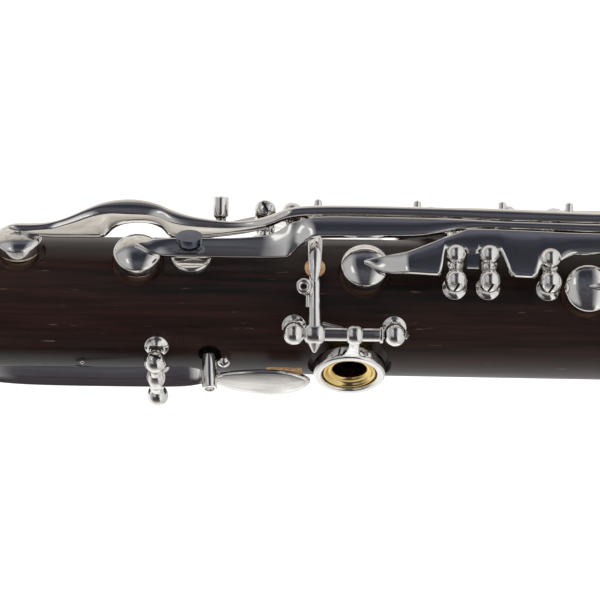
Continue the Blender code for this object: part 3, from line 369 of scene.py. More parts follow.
def side_plate(stations, **more):
    """A plate along Z. A station is (z, first th, last th, r of its edges[, thickness])."""
    return plate([(pt(a, r, z), pt(b, r, z), *t) for z, a, b, r, *t in stations], **more)


def block(centre, ux, uy, uz, sx, sy, sz, edge=0.25):
    """A box by its centre, directions and sizes, with rounded edges."""
    rows = []
    for k in (-0.5, -0.46, 0.46, 0.5):
        inset = 1.0 if abs(k) < 0.5 else 1.0 - 2 * edge / max(sx, sy)
        c = centre + uz * (sz * k)
        rows.append([c + ux * (sx * a * inset) + uy * (sy * b * inset)
                     for a, b in ((-0.5, -0.5), (0.5, -0.5), (0.5, 0.5), (-0.5, 0.5))])
    return sweep(rows, 0.2, [edge] * 4, 2)


def seat_n(z):
    return body_r(z) - 0.25


def dome(z, th, radius, lift=0.0, seg=56):
    """A pad cup: a short wall, a rounded rim and a shallow crown."""
    n = seat_n(z) + 0.3 + lift
    profile = [(0, n + 1.1), (radius - 0.45, n + 1.1), (radius - 0.4, n + 0.6), (radius, n + 0.6, 0.08),
               (radius, n + 1.85, 0.22), (radius - 0.28, n + 2.2, 0.3), (radius * 0.74, n + 2.9, 1.2),
               (radius * 0.4, n + 3.4, 1.3), (0, n + 3.55)]
    return radial(profile, z, th, seg)


def pad(z, th, radius, lift=0.0, wall=0.25, height=1.2, seg=40):
    n = seat_n(z) + 0.3 + lift
    face = radius - 0.55
    return radial([(0, n), (radius - 1, n, 0.4), (face, n + wall, 0.3), (face, n + height),
                   (0, n + height)], z, th, seg)


def side_cup(z, th):
    """A side key's cup: a taller wall over a thick pad."""
    n = seat_n(z) + 0.3
    profile = [(0, n + 2.4), (CUP_R - 0.45, n + 2.4), (CUP_R - 0.4, n + 1.2), (CUP_R, n + 1.2, 0.08),
               (CUP_R, n + 3.2, 0.22), (CUP_R - 0.25, n + 3.5, 0.2), (CUP_R * 0.74, n + 3.98, 1.2),
               (CUP_R * 0.40, n + 4.33, 1.3), (0, n + 4.45)]
    return radial(profile, z, th, 64)


def side_pad(z, th):
    return pad(z, th, CUP_R, 0.0, 0.3, 2.4, 48)


def ball_post(z, th, r_ball=R_HINGE):
    """A pillar screwed into the wood: flange, waisted stem and ball."""
    n0 = body_r(z) - 0.15
    profile = [(0, n0 - 1), (2.4, n0 - 1), (2.4, n0 + 0.62, 0.18), (1.7, n0 + 0.95, 0.3),
               (1.15, n0 + 1.7, 0.5), (1.15, r_ball - 2.15, 0.3)]
    return radial(profile + arc(r_ball, BALL_R, -52, 90, 14), z, th, 36)


def ring(z, th=180, top=RING_TOP, outer=RING_OUT, inner=RING_IN, height=2.1):
    """A ring key's ring round a finger hole."""
    return radial([(inner, top - height, 0.2), (outer, top - height, 0.2), (outer, top - 0.35, 0.5),
                   (outer - 0.3, top, 0.25), (inner + 0.25, top, 0.25), (inner, top - 0.3, 0.3)], z, th, 64,
                   loop=True)


# ----------------------------------------------------------------------------- piece making
def mesh_object(name, solids):
    """One object of several closed shells."""
    points, faces = [], []
    for p, f in solids:
        base = len(points)
        points += [v * MM for v in p]
        faces += [tuple(i + base for i in face) for face in f]
    mesh = bpy.data.meshes.new(name)
    mesh.from_pydata([tuple(p) for p in points], [], faces)
    work = bmesh.new()
    work.from_mesh(mesh)
    bmesh.ops.recalc_face_normals(work, faces=work.faces)
    work.to_mesh(mesh)
    work.free()
    obj = bpy.data.objects.new(name, mesh)
    bpy.context.scene.collection.objects.link(obj)
    return obj


def polish(obj, sharp):
    """Smooth shading, with edges steeper than sharp degrees kept sharp."""
    work = bmesh.new()
    work.from_mesh(obj.data)
    bmesh.ops.remove_doubles(work, verts=work.verts, dist=1e-7)
    bmesh.ops.dissolve_degenerate(work, edges=work.edges, dist=1e-7)
    for face in work.faces:
        face.smooth = True
    for edge in work.edges:
        edge.smooth = len(edge.link_faces) == 2 and edge.calc_face_angle(0) < radians(sharp)
    work.to_mesh(obj.data)
    work.free()


def carve(obj, cutters):
    """Cuts solids out of a piece. The cut faces take the cutter's material."""
    for solid, mat in cutters:
        helper = mesh_object("cutter", [solid])
        helper.data.materials.append(mat)
        modifier = obj.modifiers.new("cut", "BOOLEAN")
        modifier.operation = "DIFFERENCE"
        modifier.solver = "EXACT"
        modifier.material_mode = "TRANSFER"
        modifier.object = helper
    bpy.context.view_layer.update()
    graph = bpy.context.evaluated_depsgraph_get()
    cut = bpy.data.meshes.new_from_object(obj.evaluated_get(graph))
    helpers = [m.object for m in obj.modifiers]
    obj.modifiers.clear()
    old, obj.data = obj.data, cut
    bpy.data.meshes.remove(old)
    for helper in helpers:
        data = helper.data
        bpy.data.objects.remove(helper)
        bpy.data.meshes.remove(data)


def piece(name, body, mat, solids, nodes=(), cuts=(), sharp=38.0):
    obj = mesh_object(name, solids)
    obj.data.materials.append(mat)
    if cuts:
        carve(obj, cuts)
    polish(obj, sharp)
    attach(obj, body)
    if nodes:
        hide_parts(*nodes)
    return obj


def plated(name, solids, nodes=(), cuts=(), sharp=38.0):
    """A silver-plated piece that is fixed to the instrument."""
    return piece(name, "clarinet", SILVER, solids, nodes, cuts, sharp)


def key_metal(name, solids):
    """All the metal of one key, in place of its node."""
    piece(name + "_plated", name, SILVER, solids, [name])


def skin(name, key, solid, nodes=()):
    """A cup's pad, which moves with its key."""
    piece(name, key, SKIN, [solid], nodes)


def wooden(name, solids, nodes=(), cuts=(), sharp=38.0):
    piece(name, "clarinet", GRENADILLA, solids, nodes, cuts, sharp)


def band(name, node, profile, seg=128):
    """A plated ring turned round the bore."""
    plated(name, [revolve(profile, seg=seg, loop=True)], [node])


# --------------------------------------------------------------------- posts, rods and screws
def screw_seat(centre, d):
    """Cutter for a screw's seat in a ball, facing d."""
    return rod(centre + d * 1.55, centre + d * 4.0, 1.3, 28, 0.0)


def screw_head(centre, d, roll):
    """A slotted screw head in that seat, and the cutter of its slot."""
    head = revolve([(0, 1.3), (1.22, 1.3), (1.22, 1.85, 0.25), (0, 2.05)], centre, d, 28)
    side = d.cross(UP)
    side = side.normalized() if side.length > 0.1 else Vector((1, 0, 0))
    other = d.cross(side)
    cut_x = side * cos(roll) + other * sin(roll)
    cut_y = other * cos(roll) - side * sin(roll)
    return head, block(centre + d * 2.2, cut_x, cut_y, d, 4.0, 0.5, 1.1, 0.02)


def pivot(name, nodes, balls, ends, screws=((0, 0.5), (1, 2.2))):
    """Posts with a hinge rod through them. ends are the outer balls' centres, and a screw is
    (which end, its slot's angle)."""
    d = (ends[1] - ends[0]).normalized()
    posts = mesh_object(name, [ball_post(*b) for b in balls])
    posts.data.materials.append(SILVER)
    seats, heads, slots = [], [], []
    for which, roll in screws:
        facing = -d if which == 0 else d
        seats.append((screw_seat(ends[which], facing), SILVER))
        head, slot_cut = screw_head(ends[which], facing, roll)
        heads.append(head)
        # The slot's faces are painted near black as shade
        slots.append((slot_cut, PAINTED_SHADE))
    carve(posts, seats)
    polish(posts, 38)
    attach(posts, "clarinet")
    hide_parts(*nodes)
    piece(name + "_rod", "clarinet", STEEL, [rod(ends[0], ends[1], ROD_R)])
    plated(name + "_screws", heads, cuts=slots)


def axial_pivot(name, nodes, th, zs, r=R_HINGE):
    """Posts in a row along the body, for a key that turns about a line along Z."""
    zs = sorted(zs)
    pivot(name, nodes, [(z, th, r) for z in zs], (pt(th, r, zs[0]), pt(th, r, zs[-1])))


def cross_pivot(name, nodes, z, ths, r=R_HINGE, **more):
    """Two posts side by side round the body, for a key that turns about a line across it."""
    pivot(name, nodes, [(z, ths[0], r), (z, ths[1], r)], (pt(ths[0], r, z), pt(ths[1], r, z)), **more)


def swelling(neck, radius, half, waist, neck_edge, edge):
    """Profile of a collar round a tube, the same above and below its middle."""
    return [(0, -half), (neck, -half, neck_edge), (radius, -waist, edge), (radius, waist, edge),
            (neck, half, neck_edge), (0, half)]


def tube(p0, p1, collars=()):
    """A hinge tube. A collar is (share of its length, radius, half its width)."""
    d = (p1 - p0).normalized()
    length = (p1 - p0).length
    solids = [rod(p0, p1, TUBE_R, 32)]
    for at, radius, half in collars:
        c = p0 + d * (length * at)
        solids.append(revolve(swelling(radius * 0.7, radius, half, half * 0.4, 0.2, 0.5), c, d, 32))
    return solids


def cross_tube(z, ths, *collars):
    p0, p1 = pt(ths[0], R_HINGE, z), pt(ths[1], R_HINGE, z)
    d = (p1 - p0).normalized()
    return tube(p0 + d * (BALL_R + 0.15), p1 - d * (BALL_R + 0.15), collars)


def axial_tube(th, z0, z1, r=R_HINGE):
    return tube(pt(th, r, z0), pt(th, r, z1))


def post_tube(th, posts, r=R_HINGE):
    """The hinge tube between two posts, given as (upper, lower)."""
    return axial_tube(th, posts[1] + TUBE_END, posts[0] - TUBE_END, r)


def bead(th, r, z, size=(2.1, 2.6)):
    """The soldered saddle where an arm leaves a hinge tube along the body."""
    radius, half = size
    return revolve(swelling(radius * 0.72, radius, half, half * 0.35, 0.3, 0.8), pt(th, r, z), UP, 32)


def spring(name, p0, p1):
    """A needle spring: a thin tapered wire."""
    length = (p1 - p0).length
    piece(name, "clarinet", STEEL, [revolve([(0, 0), (0.36, 0, 0.05), (0.2, length, 0.05),
        (0, length)], p0, p1 - p0, 12)])


# --------------------------------------------------------------------------- wood and rings
def seat_cut(z, th, radius, hole, sunk=False):
    """Cutter of a tone hole with its seat. A sunk seat is a groove round a raised rim."""
    n = seat_n(z)
    if sunk:
        profile = [(0, 4), (hole, 4), (hole, n - 0.25), (hole + 0.3, n), (hole + 1, n),
                   (hole + 1.3, n - 0.4), (hole + 1.4, n - 1, 0.2), (radius + 0.3, n - 1, 0.25),
                   (radius + 0.4, n - 0.3), (radius + 0.7, n + 0.4), (radius + 0.7, n + 9), (0, n + 9)]
    else:
        profile = [(0, 4), (hole, 4), (hole, n - 0.2), (hole + 0.3, n), (radius + 0.35, n, 0.1),
                   (radius + 0.8, n + 1), (radius + 0.8, n + 7), (0, n + 7)]
    return radial(profile, z, th, 56)


def hole_cuts(zs):
    """Cutters of finger holes."""
    profile = [(0, 4), (HOLE_R - 0.3, 4), (HOLE_R, 14.6, 0.5), (HOLE_R + 0.7, 16.6), (HOLE_R + 0.9, 24),
               (0, 24)]
    return [(radial(profile, z, 180), BARE_WOOD) for z in zs]


def chimney(z, radius, top):
    """The raised rim of a finger hole, which a ring key's ring stands round."""
    return radial([(0, 10), (radius + 1.6, body_r(z) - 1.6, 0.6), (radius, body_r(z) + 0.6, 0.8),
                   (radius, top, 0.35), (0, top)], z, 180, 56)


def turned(outline, seg=144, step=7.0):
    """A turned body: long stretches are split so that its shading stays even."""
    out = []
    for k, p in enumerate(outline):
        q = outline[(k + 1) % len(outline)]
        out.append(p)
        parts = int(abs(q[1] - p[1]) // step)
        for j in range(1, parts):
            t = j / parts
            out.append((p[0] + (q[0] - p[0]) * t, p[1] + (q[1] - p[1]) * t))
    return revolve(out, seg=seg, loop=True)


# The flat seats round tone holes: (z, th, radius of the cup, radius of the hole).
SIDE_SEATS = [(z, th, CUP_R, 2.4) for z, th in TRILL_CUPS]
UPPER_SEATS = [(REG_CUP_Z, 1.5, 4.4, 1.4), (*A_CUP, 4.6, 2.4), (*GS_CUP, 4.4, 2.3), (*BRIDGE_CUP, 4.4, 2.4),
               (*EB_CUP, 4.2, 2.4), (*CS_CUP, 5, 3)]
LOWER_SEATS = [(*BF_CUP, 4.4, 2.6), (*EB_LOW, 6, 4), (*FS_LOW, 6, 4), (*F_CUP, 5.2, 3.6), (*AB_CUP, 5, 3.2)]


def make_upper_joint():
    low, high = Z_MID - 17.5, Z_BARREL + 15.0
    outline = [(R_BORE, low), (TENON_R, low, 0.3), (TENON_R, Z_MID), (R_UP_LOW, Z_MID, 0.4),
               (R_UP_TOP, Z_BARREL, 0.4), (TENON_R, Z_BARREL), (TENON_R, high, 0.3), (R_BORE, high)]
    cuts = hole_cuts(L_HOLES)
    cuts.append((radial([(0, 4), (4.7, 4), (4.7, 11.5), (8.1, 11.5, 0.3), (8.1, 13.2), (8.6, 14.4),
                         (8.6, 22), (0, 22)], THUMB_Z, 0, 64), GRENADILLA))
    cuts += [(seat_cut(*s, sunk=True), BARE_WOOD) for s in SIDE_SEATS]
    cuts += [(seat_cut(*s), GRENADILLA) for s in UPPER_SEATS]
    # Hole round the register guide peg: its faces are painted near black as shade
    cuts.append((radial([(0, 11.2), (2, 11.2, 0.2), (2.1, 13), (2.6, 14.2), (0, 14.2)], 457.4, 12, 28),
                 PAINTED_SHADE))
    wooden("upper_joint_wood", [turned(outline)], ["upper_joint"], cuts, 28)
    wooden("finger_chimneys_upper", [chimney(z, 4.65 if z > 370 else 6.5, 15.8) for z in L_HOLES],
          cuts=hole_cuts(L_HOLES))


def make_lower_joint():
    top, low = Z_MID - GAP, Z_BELL_TOP - 18
    foot = top - 17.5 - GAP
    outline = [(10.6, low), (BELL_TENON_R, low, 0.3), (BELL_TENON_R, Z_BELL_TOP),
               (R_LOW_LOW, Z_BELL_TOP, 0.4), (R_LOW_TOP + 0.1, 313, 3), (15.3, 317, 2.5), (15.6, 323, 0.2),
               (13.3, 323), (13.3, top), (SOCKET_R, top, 0.2), (SOCKET_R, foot), (R_BORE, foot),
               (R_BORE, 185), (8.6, 130)]
    cuts = hole_cuts(R_HOLES) + [(seat_cut(*s), GRENADILLA) for s in LOWER_SEATS]
    wooden("lower_joint_wood", [turned(outline)], ["lower_joint"], cuts, 28)
    wooden("finger_chimneys_lower", [chimney(z, 4.65, 16.2) for z in R_HOLES],
          cuts=hole_cuts(R_HOLES))
    band("lower_joint_socket_band", "lower_joint_socket_ring",
         [(13.6, 323.3), (15.6, 323.3, 0.2), (15.9, 324.1, 0.4), (15.75, 325.0, 0.3), (15.9, 325.9, 0.3),
          (15.9, top - 0.7, 0.4), (15.4, top, 0.2), (13.6, top)])


def make_bell():
    top = Z_BELL_TOP - GAP
    foot = top - 18 - GAP
    flare = [(39.3, 4.6), (38.2, 8), (34, 13.5), (28.5, 22), (23.4, 34), (19.6, 48), (17.4, 64), (17, 80),
             (17.6, 92)]
    bore = [(11.0, foot), (12.2, 72.0), (15.0, 52.0), (19.4, 34.0), (25.0, 19.5), (31.0, 7.5)]
    outline = [(35.6, 0.3, 0.5), (37, 0.3), (37, 4.6)] + [(r, z, 9)
        for r, z in flare] + [(17.9, 98, 0.3), (15.2, 98), (15.2, top), (BELL_SOCKET_R, top, 0.2),
                              (BELL_SOCKET_R, foot)]
    wooden("bell_wood", [revolve(outline + [(r, z, 9) for r, z in bore], seg=144, loop=True)], ["bell"])
    band("bell_rim_band", "bell_rim_ring", [(37.3, 0, 0.2), (39.4, 0, 0.5), (40.0, 0.6, 0.5),
        (40.0, 3.6, 0.6), (39.4, 4.3, 0.4), (37.3, 4.3)], 160)
    band("bell_socket_band", "bell_socket_ring", [(15.5, 98.3), (18.0, 98.3, 0.2), (18.3, 99.1, 0.4),
        (18.15, 100.2, 0.3), (18.3, 101.2, 0.3), (18.3, top - 0.7, 0.4), (17.7, top, 0.2), (15.5, top)])


def make_barrel():
    low, high = Z_BARREL + GAP, Z_MOUTH - GAP
    s0, s1 = low + 15 + GAP, high - 17 - GAP
    outline = [(SOCKET_R, low, 0.2), (14, low), (14, low + 6.3), (16.2, low + 6.3, 0.3),
               (16.9, low + 20, 9), (17, low + 36, 9), (16.5, high - 6.3, 0.3), (14.2, high - 6.3),
               (14.2, high), (SOCKET_R, high, 0.2), (SOCKET_R, s1), (R_BORE, s1), (R_BORE, s0),
               (SOCKET_R, s0)]
    wooden("barrel_wood", [revolve(outline, seg=128, loop=True)], ["barrel"])
    band("barrel_lower_band", "barrel_lower_ring", [(14.3, low), (15.6, low, 0.2), (16.1, low + 0.7, 0.4),
        (15.95, low + 1.6, 0.3), (16.1, low + 2.5, 0.3), (16.1, low + 5.5, 0.3), (15.8, low + 6.0, 0.1),
        (14.3, low + 6.0)])
    band("barrel_upper_band", "barrel_upper_ring", [(14.5, high - 6.0), (16.1, high - 6.0, 0.1),
        (16.4, high - 5.5, 0.3), (16.4, high - 2.5, 0.3), (16.25, high - 1.6, 0.3), (16.4, high - 0.7, 0.4),
        (15.9, high, 0.2), (14.5, high)])


def make_mouthpiece():
    low = Z_MOUTH - 17.0
    outline = [(0, low), (TENON_R, low, 0.3), (TENON_R, Z_MOUTH), (13.8, Z_MOUTH, 0.3),
               (14.3, Z_MOUTH + 1.5, 0.8), (14.3, Z_MOUTH + 4, 1.2), (13.6, Z_MOUTH + 6, 1.5),
               (13.3, 616.0), (12.9, 640.0, 6), (12.0, Z_TIP), (0, Z_TIP)]
    table = block(Vector((0, 18.3, 650)), X, Y, UP, 40, 20, 2 * (650 - 599.2), 0.05)
    beak = loft([[Vector((x, y, z)) for y, z in ((-13.8, 624), (-30, 624), (-30, 670), (7.3, 670),
        (7.3, 664.6))] for x in (-20, 20)])
    cuts = [(table, HARD_RUBBER), (beak, HARD_RUBBER)]
    for s in (-1, 1):
        cuts.append((loft([[Vector((s * x, y, z)) for x, z in ((13.2, 622), (24, 622), (24, 672),
            (6.2, 672), (6.6, 664))] for y in (-20, 20)]), HARD_RUBBER))
    cuts.append((revolve([(0, low - 2), (R_BORE, low - 2), (R_BORE - 0.2, 618), (5.2, 634), (0, 634)],
                         seg=48), HARD_RUBBER))
    cuts.append((loft([[Vector((x, y, z)) for y, z in ((9.5, 627), (9.5, 661.5), (7, 661.5), (-4.2, 631),
        (-3.5, 622))] for x in (-4.9, 4.9)]), HARD_RUBBER))
    piece("mouthpiece_rubber", "clarinet", HARD_RUBBER, [revolve(outline, seg=128)],
          ["mouthpiece"], cuts, 30)


def make_reed():
    y0 = 8.3 + 0.1
    rows = []
    for z, top, half, side in ((599.6, 2.9, 6.1, 0.9), (611, 2.95, 6.15, 0.9), (631, 2.8, 6.25, 0.85),
                               (634, 2.4, 6.3, 0.6), (645, 1.35, 6.35, 0.4), (656, 0.65, 6.4, 0.25),
                               (662.5, 0.33, 6.3, 0.2), (664.3, 0.25, 3.6, 0.15)):
        rows.append([Vector((-half, y0, z)), Vector((-half, y0 + side, z)),
                     Vector((-half * 0.55, y0 + side + (top - side) * 0.85, z)), Vector((0, y0 + top, z)),
                     Vector((half * 0.55, y0 + side + (top - side) * 0.85, z)),
                     Vector((half, y0 + side, z)), Vector((half, y0, z))])
    piece("reed_cane", "clarinet", CANE, [sweep(rows, 1.5, [0.05, 0.2, 2.5, 2.5, 2.5, 0.2, 0.05])],
          ["reed"])


def make_ligature():
    """The reed's clamp: a band with three windows, lugs at its split and two knurled screws."""
    z0, z1 = 604.0, 628.0
    band = revolve([(14, z0, 0.1), (14.9, z0, 0.2), (15.05, z0 + 0.9, 0.3), (14.8, z0 + 1.8, 0.3),
                    (14.7, z1 - 1.8, 0.3), (14.9, z1 - 0.9, 0.3), (14.6, z1, 0.2), (13.7, z1, 0.1)],
                    seg=128, loop=True)
    windows = [(block(outward(a) * 14 + UP * 616, along(a), outward(a), UP, 7.5, 8, 11, 1), SILVER)
               for a in (120, 180, 240)]
    split = (block(Vector((0, 17, 616)), X, Y, UP, 1.6, 12, 40, 0.05), SILVER)
    plated("ligature_band", [band], ["ligature"], windows + [split], 30)
    lugs, bores, heads, slots = [], [], [], []
    for z in (609.0, 622.5):
        lugs += [block(Vector((s * 2.3, 16.6, z)), X, Y, UP, 2.0, 5.0, 4.6, 0.6) for s in (-1, 1)]
        bores.append((rod(Vector((-8, 17.3, z)), Vector((8, 17.3, z)), 1.15, 24, 0), SILVER))
        shaft = revolve([(0, -4.4), (0.8, -4.4, 0.2), (0.8, 4.2), (2.5, 4.2, 0.2), (3, 4.8, 0.3),
                         (3, 8, 0.3), (2.6, 8.4, 0.2), (0, 8.4)], Vector((0, 17.3, z)), Vector((-1, 0, 0)),
                         36)
        heads.append(shaft)
        for k in range(18):
            a = 2 * pi * k / 18
            slots.append((rod(Vector((-4.9, 17.3 + 3.1 * cos(a), z + 3.1 * sin(a))),
                              Vector((-7.8, 17.3 + 3.1 * cos(a), z + 3.1 * sin(a))), 0.28, 8, 0), SILVER))
    plated("ligature_lugs", lugs, cuts=bores)
    for label, k in (("lower", 0), ("upper", 1)):
        plated("ligature_screw_" + label + "_knurled", [heads[k]], ["ligature_screw_" + label],
               slots[18 * k:18 * k + 18])


def make_thumb_rest():
    z, n = 262.0, body_r(262.0) - 0.1
    base = strap([(th, n + 1.4, z, w) for th, w in ((-28, 15), (-25, 21), (-18, 24), (0, 24), (18, 24),
        (25, 21), (28, 15))], 1.5, 0, 2)
    rows = [[Vector((s * x, y, zz)) for y, zz in ((n + 1, z - 1), (n + 10, z - 1.6), (n + 17, z - 1),
        (n + 19, z + 0.9), (n + 17, z + 2.6), (n + 9, z + 2.6), (n + 4, z + 5.5), (n + 1, z + 8))]
            for s, x in ((-1, 8.0), (-1, 7.4), (1, 7.4), (1, 8.0))]
    hook = sweep(rows, 0.6, [0.3, 3, 2, 1.0, 2, 3, 3, 0.3], 3)
    screws = [revolve([(0, n + 1.2), (1.9, n + 1.2), (1.9, n + 2.1, 0.3), (0, n + 2.3)], UP * (z + dz),
                      outward(th), 28) for dz, th in ((-8.6, 0), (9.6, 0))]
    # The slots' faces are painted near black as shade
    slots = [(block(UP * (z + dz) + outward(0) * (n + 2.3), X, UP, outward(0), 5, 0.45, 0.7, 0.02), PAINTED_SHADE)
             for dz in (-8.6, 9.6)]
    plated("thumb_rest_plated", [base, hook], ["thumb_rest"])
    plated("thumb_rest_screws", screws, cuts=slots)


# --------------------------------------------------------------------------- the back keys
def make_register_key():
    th = 1.5
    x = along(th)

    def roof(z, n, half, deep):
        """The lever's section: steep flanks that meet in a rounded ridge."""
        c = outward(th)
        return [c * (n - deep) + x * half + UP * z, c * (n - deep * 0.35) + x * half * 0.52 + UP * z,
                c * n + UP * z, c * (n - deep * 0.35) - x * half * 0.52 + UP * z,
                c * (n - deep) - x * half + UP * z]

    lever = sweep([roof(REG_CUP_Z, 17.3, 0.4, 0.6), roof(REG_CUP_Z - 2.4, 17.7, 1.2, 1),
                   roof(REG_CUP_Z - 6, 18.7, 1.9, 2.2), roof(REG_CUP_Z - 12, 19.4, 2.25, 3.1),
                   roof(486, 19.6, 2.3, 3.3), roof(REG_Z + 3, 19.6, 2.3, 3.3),
                   roof(REG_Z - 4, 19.5, 2.7, 3.2), roof(460.5, 19.2, 2.5, 3), roof(457.5, 18.3, 1.3, 1.7),
                   roof(454.6, 18.1, 1.2, 1.5)], 5, [0.3, 0.7, 0.2, 0.7, 0.3])
    tilt = radians(-9)
    face = outward(th) * cos(tilt) - x * sin(tilt)
    rows = []
    for z, half, n in ((456.2, 0.9, 17.9), (455, 1.8, 18), (452, 2.7, 18.25), (448, 3.3, 18.45),
                       (444, 3.35, 18.5), (440.8, 2.7, 18.4), (438.6, 1.55, 18.2), (437.6, 0.35, 18)):
        c = outward(th) * n + UP * z
        across = x * cos(tilt) + outward(th) * sin(tilt)
        rows.append([c - across * half, c + face * min(0.35, half * 0.12), c + across * half,
                     c + across * half - face * 1.0, c - across * half - face * 1.0])
    touch = sweep(rows, 5.0, BAR_EDGES)
    solids = [lever, touch, dome(REG_CUP_Z, th, 4.4)] + cross_tube(REG_Z, REG_TH, (0.5, 2.0, 2.2))
    key_metal("register_key", solids)
    skin("register_key_pad_skin", "register_key", pad(REG_CUP_Z, th, 4.4), ["register_key_pad"])
    piece("register_key_cork", "register_key", CORK,
          [sweep([[pt(a, r, z) for a, r in ((th + 9, 16.3), (th + 9, 17.25), (th - 9, 17.25),
          (th - 9, 16.3))] for z in (446.2, 445.4, 440.2, 439.2)], 1, [0.2] * 4)])
    cross_pivot("register_key_posts", ["register_key_pivot"], REG_Z, (REG_TH[1], REG_TH[0]),
                screws=((0, 0.5), (1, 1.2)))
    foot, tip = pt(11.6, 13.9, 457.5), pt(6.4, 20.9, 457.1)
    peg = revolve([(0, 0), (1.4, 0, 0.1), (1.5, 7.3, 0.2), (0.9, 7.3, 0.1), (0.9, 6.3), (0, 6.3)], foot,
                  tip - foot, 32)
    stud = radial([(0, 12.5), (1.25, 12.5), (1.3, 14.4, 0.5), (0, 15.3)], 454.6, 5.0, 28)
    plated("register_guide_peg", [peg, stud])
    spring("register_spring", pt(-4, 14.2, 484.0), pt(-1, 16.4, 462.0))
    plated("register_spring_screw", [radial([(0, 12.8), (0.45, 12.8), (0.45, 14.0, 0.2), (0, 14.2)], 482.5,
        0.5, 20)])


def make_thumb_keys():
    a, r = THUMB_TH, R_HINGE
    z0, z1 = THUMB_POSTS[1] + BALL_R + 0.1, THUMB_POSTS[0] - BALL_R - 0.1
    neck = strap([(41, 20.35, 429.2, 1.9, 1.2), (37, 20.1, 429.2, 2, 1.3), (32, 19, 429.3, 2.1, 1.5),
                  (27.5, 17.85, 429.5, 2.4, 1.5), (23.2, 17.2, 429.8, 3.8, 1.7),
                  (20, 16.78, 429.9, 6.2, 1.7), (18.6, 16.65, 429.9, 7, 1.5)], crown=0.06, reach=3)
    arm = strap([(40, 20.1, 436.9, 2.5, 2.2), (48, 19.3, 436.9, 2.3, 1.9), (58, 18.1, 437, 2.2, 1.6),
                 (68, 17.2, 437, 2.2, 1.5), (80, 16.7, 437.1, 2.2, 1.2), (92, 16.5, 437.1, 1.8, 1.2)],
                 crown=0.55, edges=[0.5, 9, 0.5, 0.2, 0.2])
    rib = strap([(57, 18.1, 438.35, 0.7, 1.2), (68, 17.4, 438.4, 0.7, 1.2)], crown=0.1)
    eye = revolve([(0.45, -0.9), (1.6, -0.9), (1.62, 0.35, 0.5), (1.05, 0.95, 0.6), (0.45, 0.35, 0.5)],
                  pt(69.7, 18, 439.1), outward(62), 36, loop=True)
    web = block(pt(66.5, 17.4, 438.4), outward(66), along(66), UP, 1.0, 1.4, 1.4, 0.3)
    elbow = revolve(swelling(1.5, 2.1, 2.0, 0.9, 0.5, 0.8), pt(a, r, 436.9), UP, 32)
    spur = revolve([(0, -0.4), (1.7, -0.4), (1.5, 0.5, 0.5), (0.35, 2.6, 0.3), (0, 2.7)],
                   pt(a - 3, r + 0.1, 436.9), (-along(47) + outward(47) * 0.1).normalized(), 28)
    boss = revolve(swelling(1.5, 1.95, 1.5, 0.6, 0.4, 0.6), pt(a, r + 0.25, 429.2), UP, 32)
    solids = [ring(THUMB_Z, 0, 16.1, 7.05, 5.45, 2.6), neck, arm, rib, eye, web, elbow, spur,
              boss] + axial_tube(a, z0, z1)
    solids += [rod(pt(a, r, z), pt(a, r, z + 0.7), 1.65, 32, 0.2) for z in (z0, z1 - 0.7)]
    key_metal("thumb_ring_key", solids)
    piece("thumb_ring_key_cork", "thumb_ring_key", CORK,
          [radial([(0, 16.4), (2.0, 16.4, 0.1), (2.0, 17.0, 0.1), (0, 17.0)], 437.0, 84.0, 32)])
    for label, z in zip(("upper", "lower"), THUMB_POSTS):
        plated("thumb_ring_post_" + label + "_plated", [ball_post(z, a)], ["thumb_ring_post_" + label])
    nub = revolve([(0, 0), (0.8, 0), (0.8, 2.3), (0.15, 2.75, 0.1), (0, 2.8)], pt(a, r, THUMB_POSTS[1]),
                  -UP, 24)
    piece("thumb_ring_rod", "clarinet", STEEL, [rod(pt(a, r, THUMB_POSTS[1]),
        pt(a, r, THUMB_POSTS[0]), ROD_R), nub], ["thumb_ring_hinge_screw"])
    lip = [(3.3, 7.6), (4.6, 7.6), (4.6, 13.6, 0.3), (5.15, 14.6, 0.3), (5.2, 15.45, 0.25),
           (4.95, 15.7, 0.2), (4.6, 15.5, 0.3), (4.3, 14.95, 0.3), (3.6, 14.85, 0.3), (3.3, 14.5, 0.2)]
    piece("thumb_tube_brass", "clarinet", BRASS, [radial(lip, THUMB_Z, 0, 72, loop=True)],
          ["thumb_tube"])
    spring("thumb_ring_spring", pt(46.5, 17.2, 435.4), pt(43.6, 17.9, 430.6))


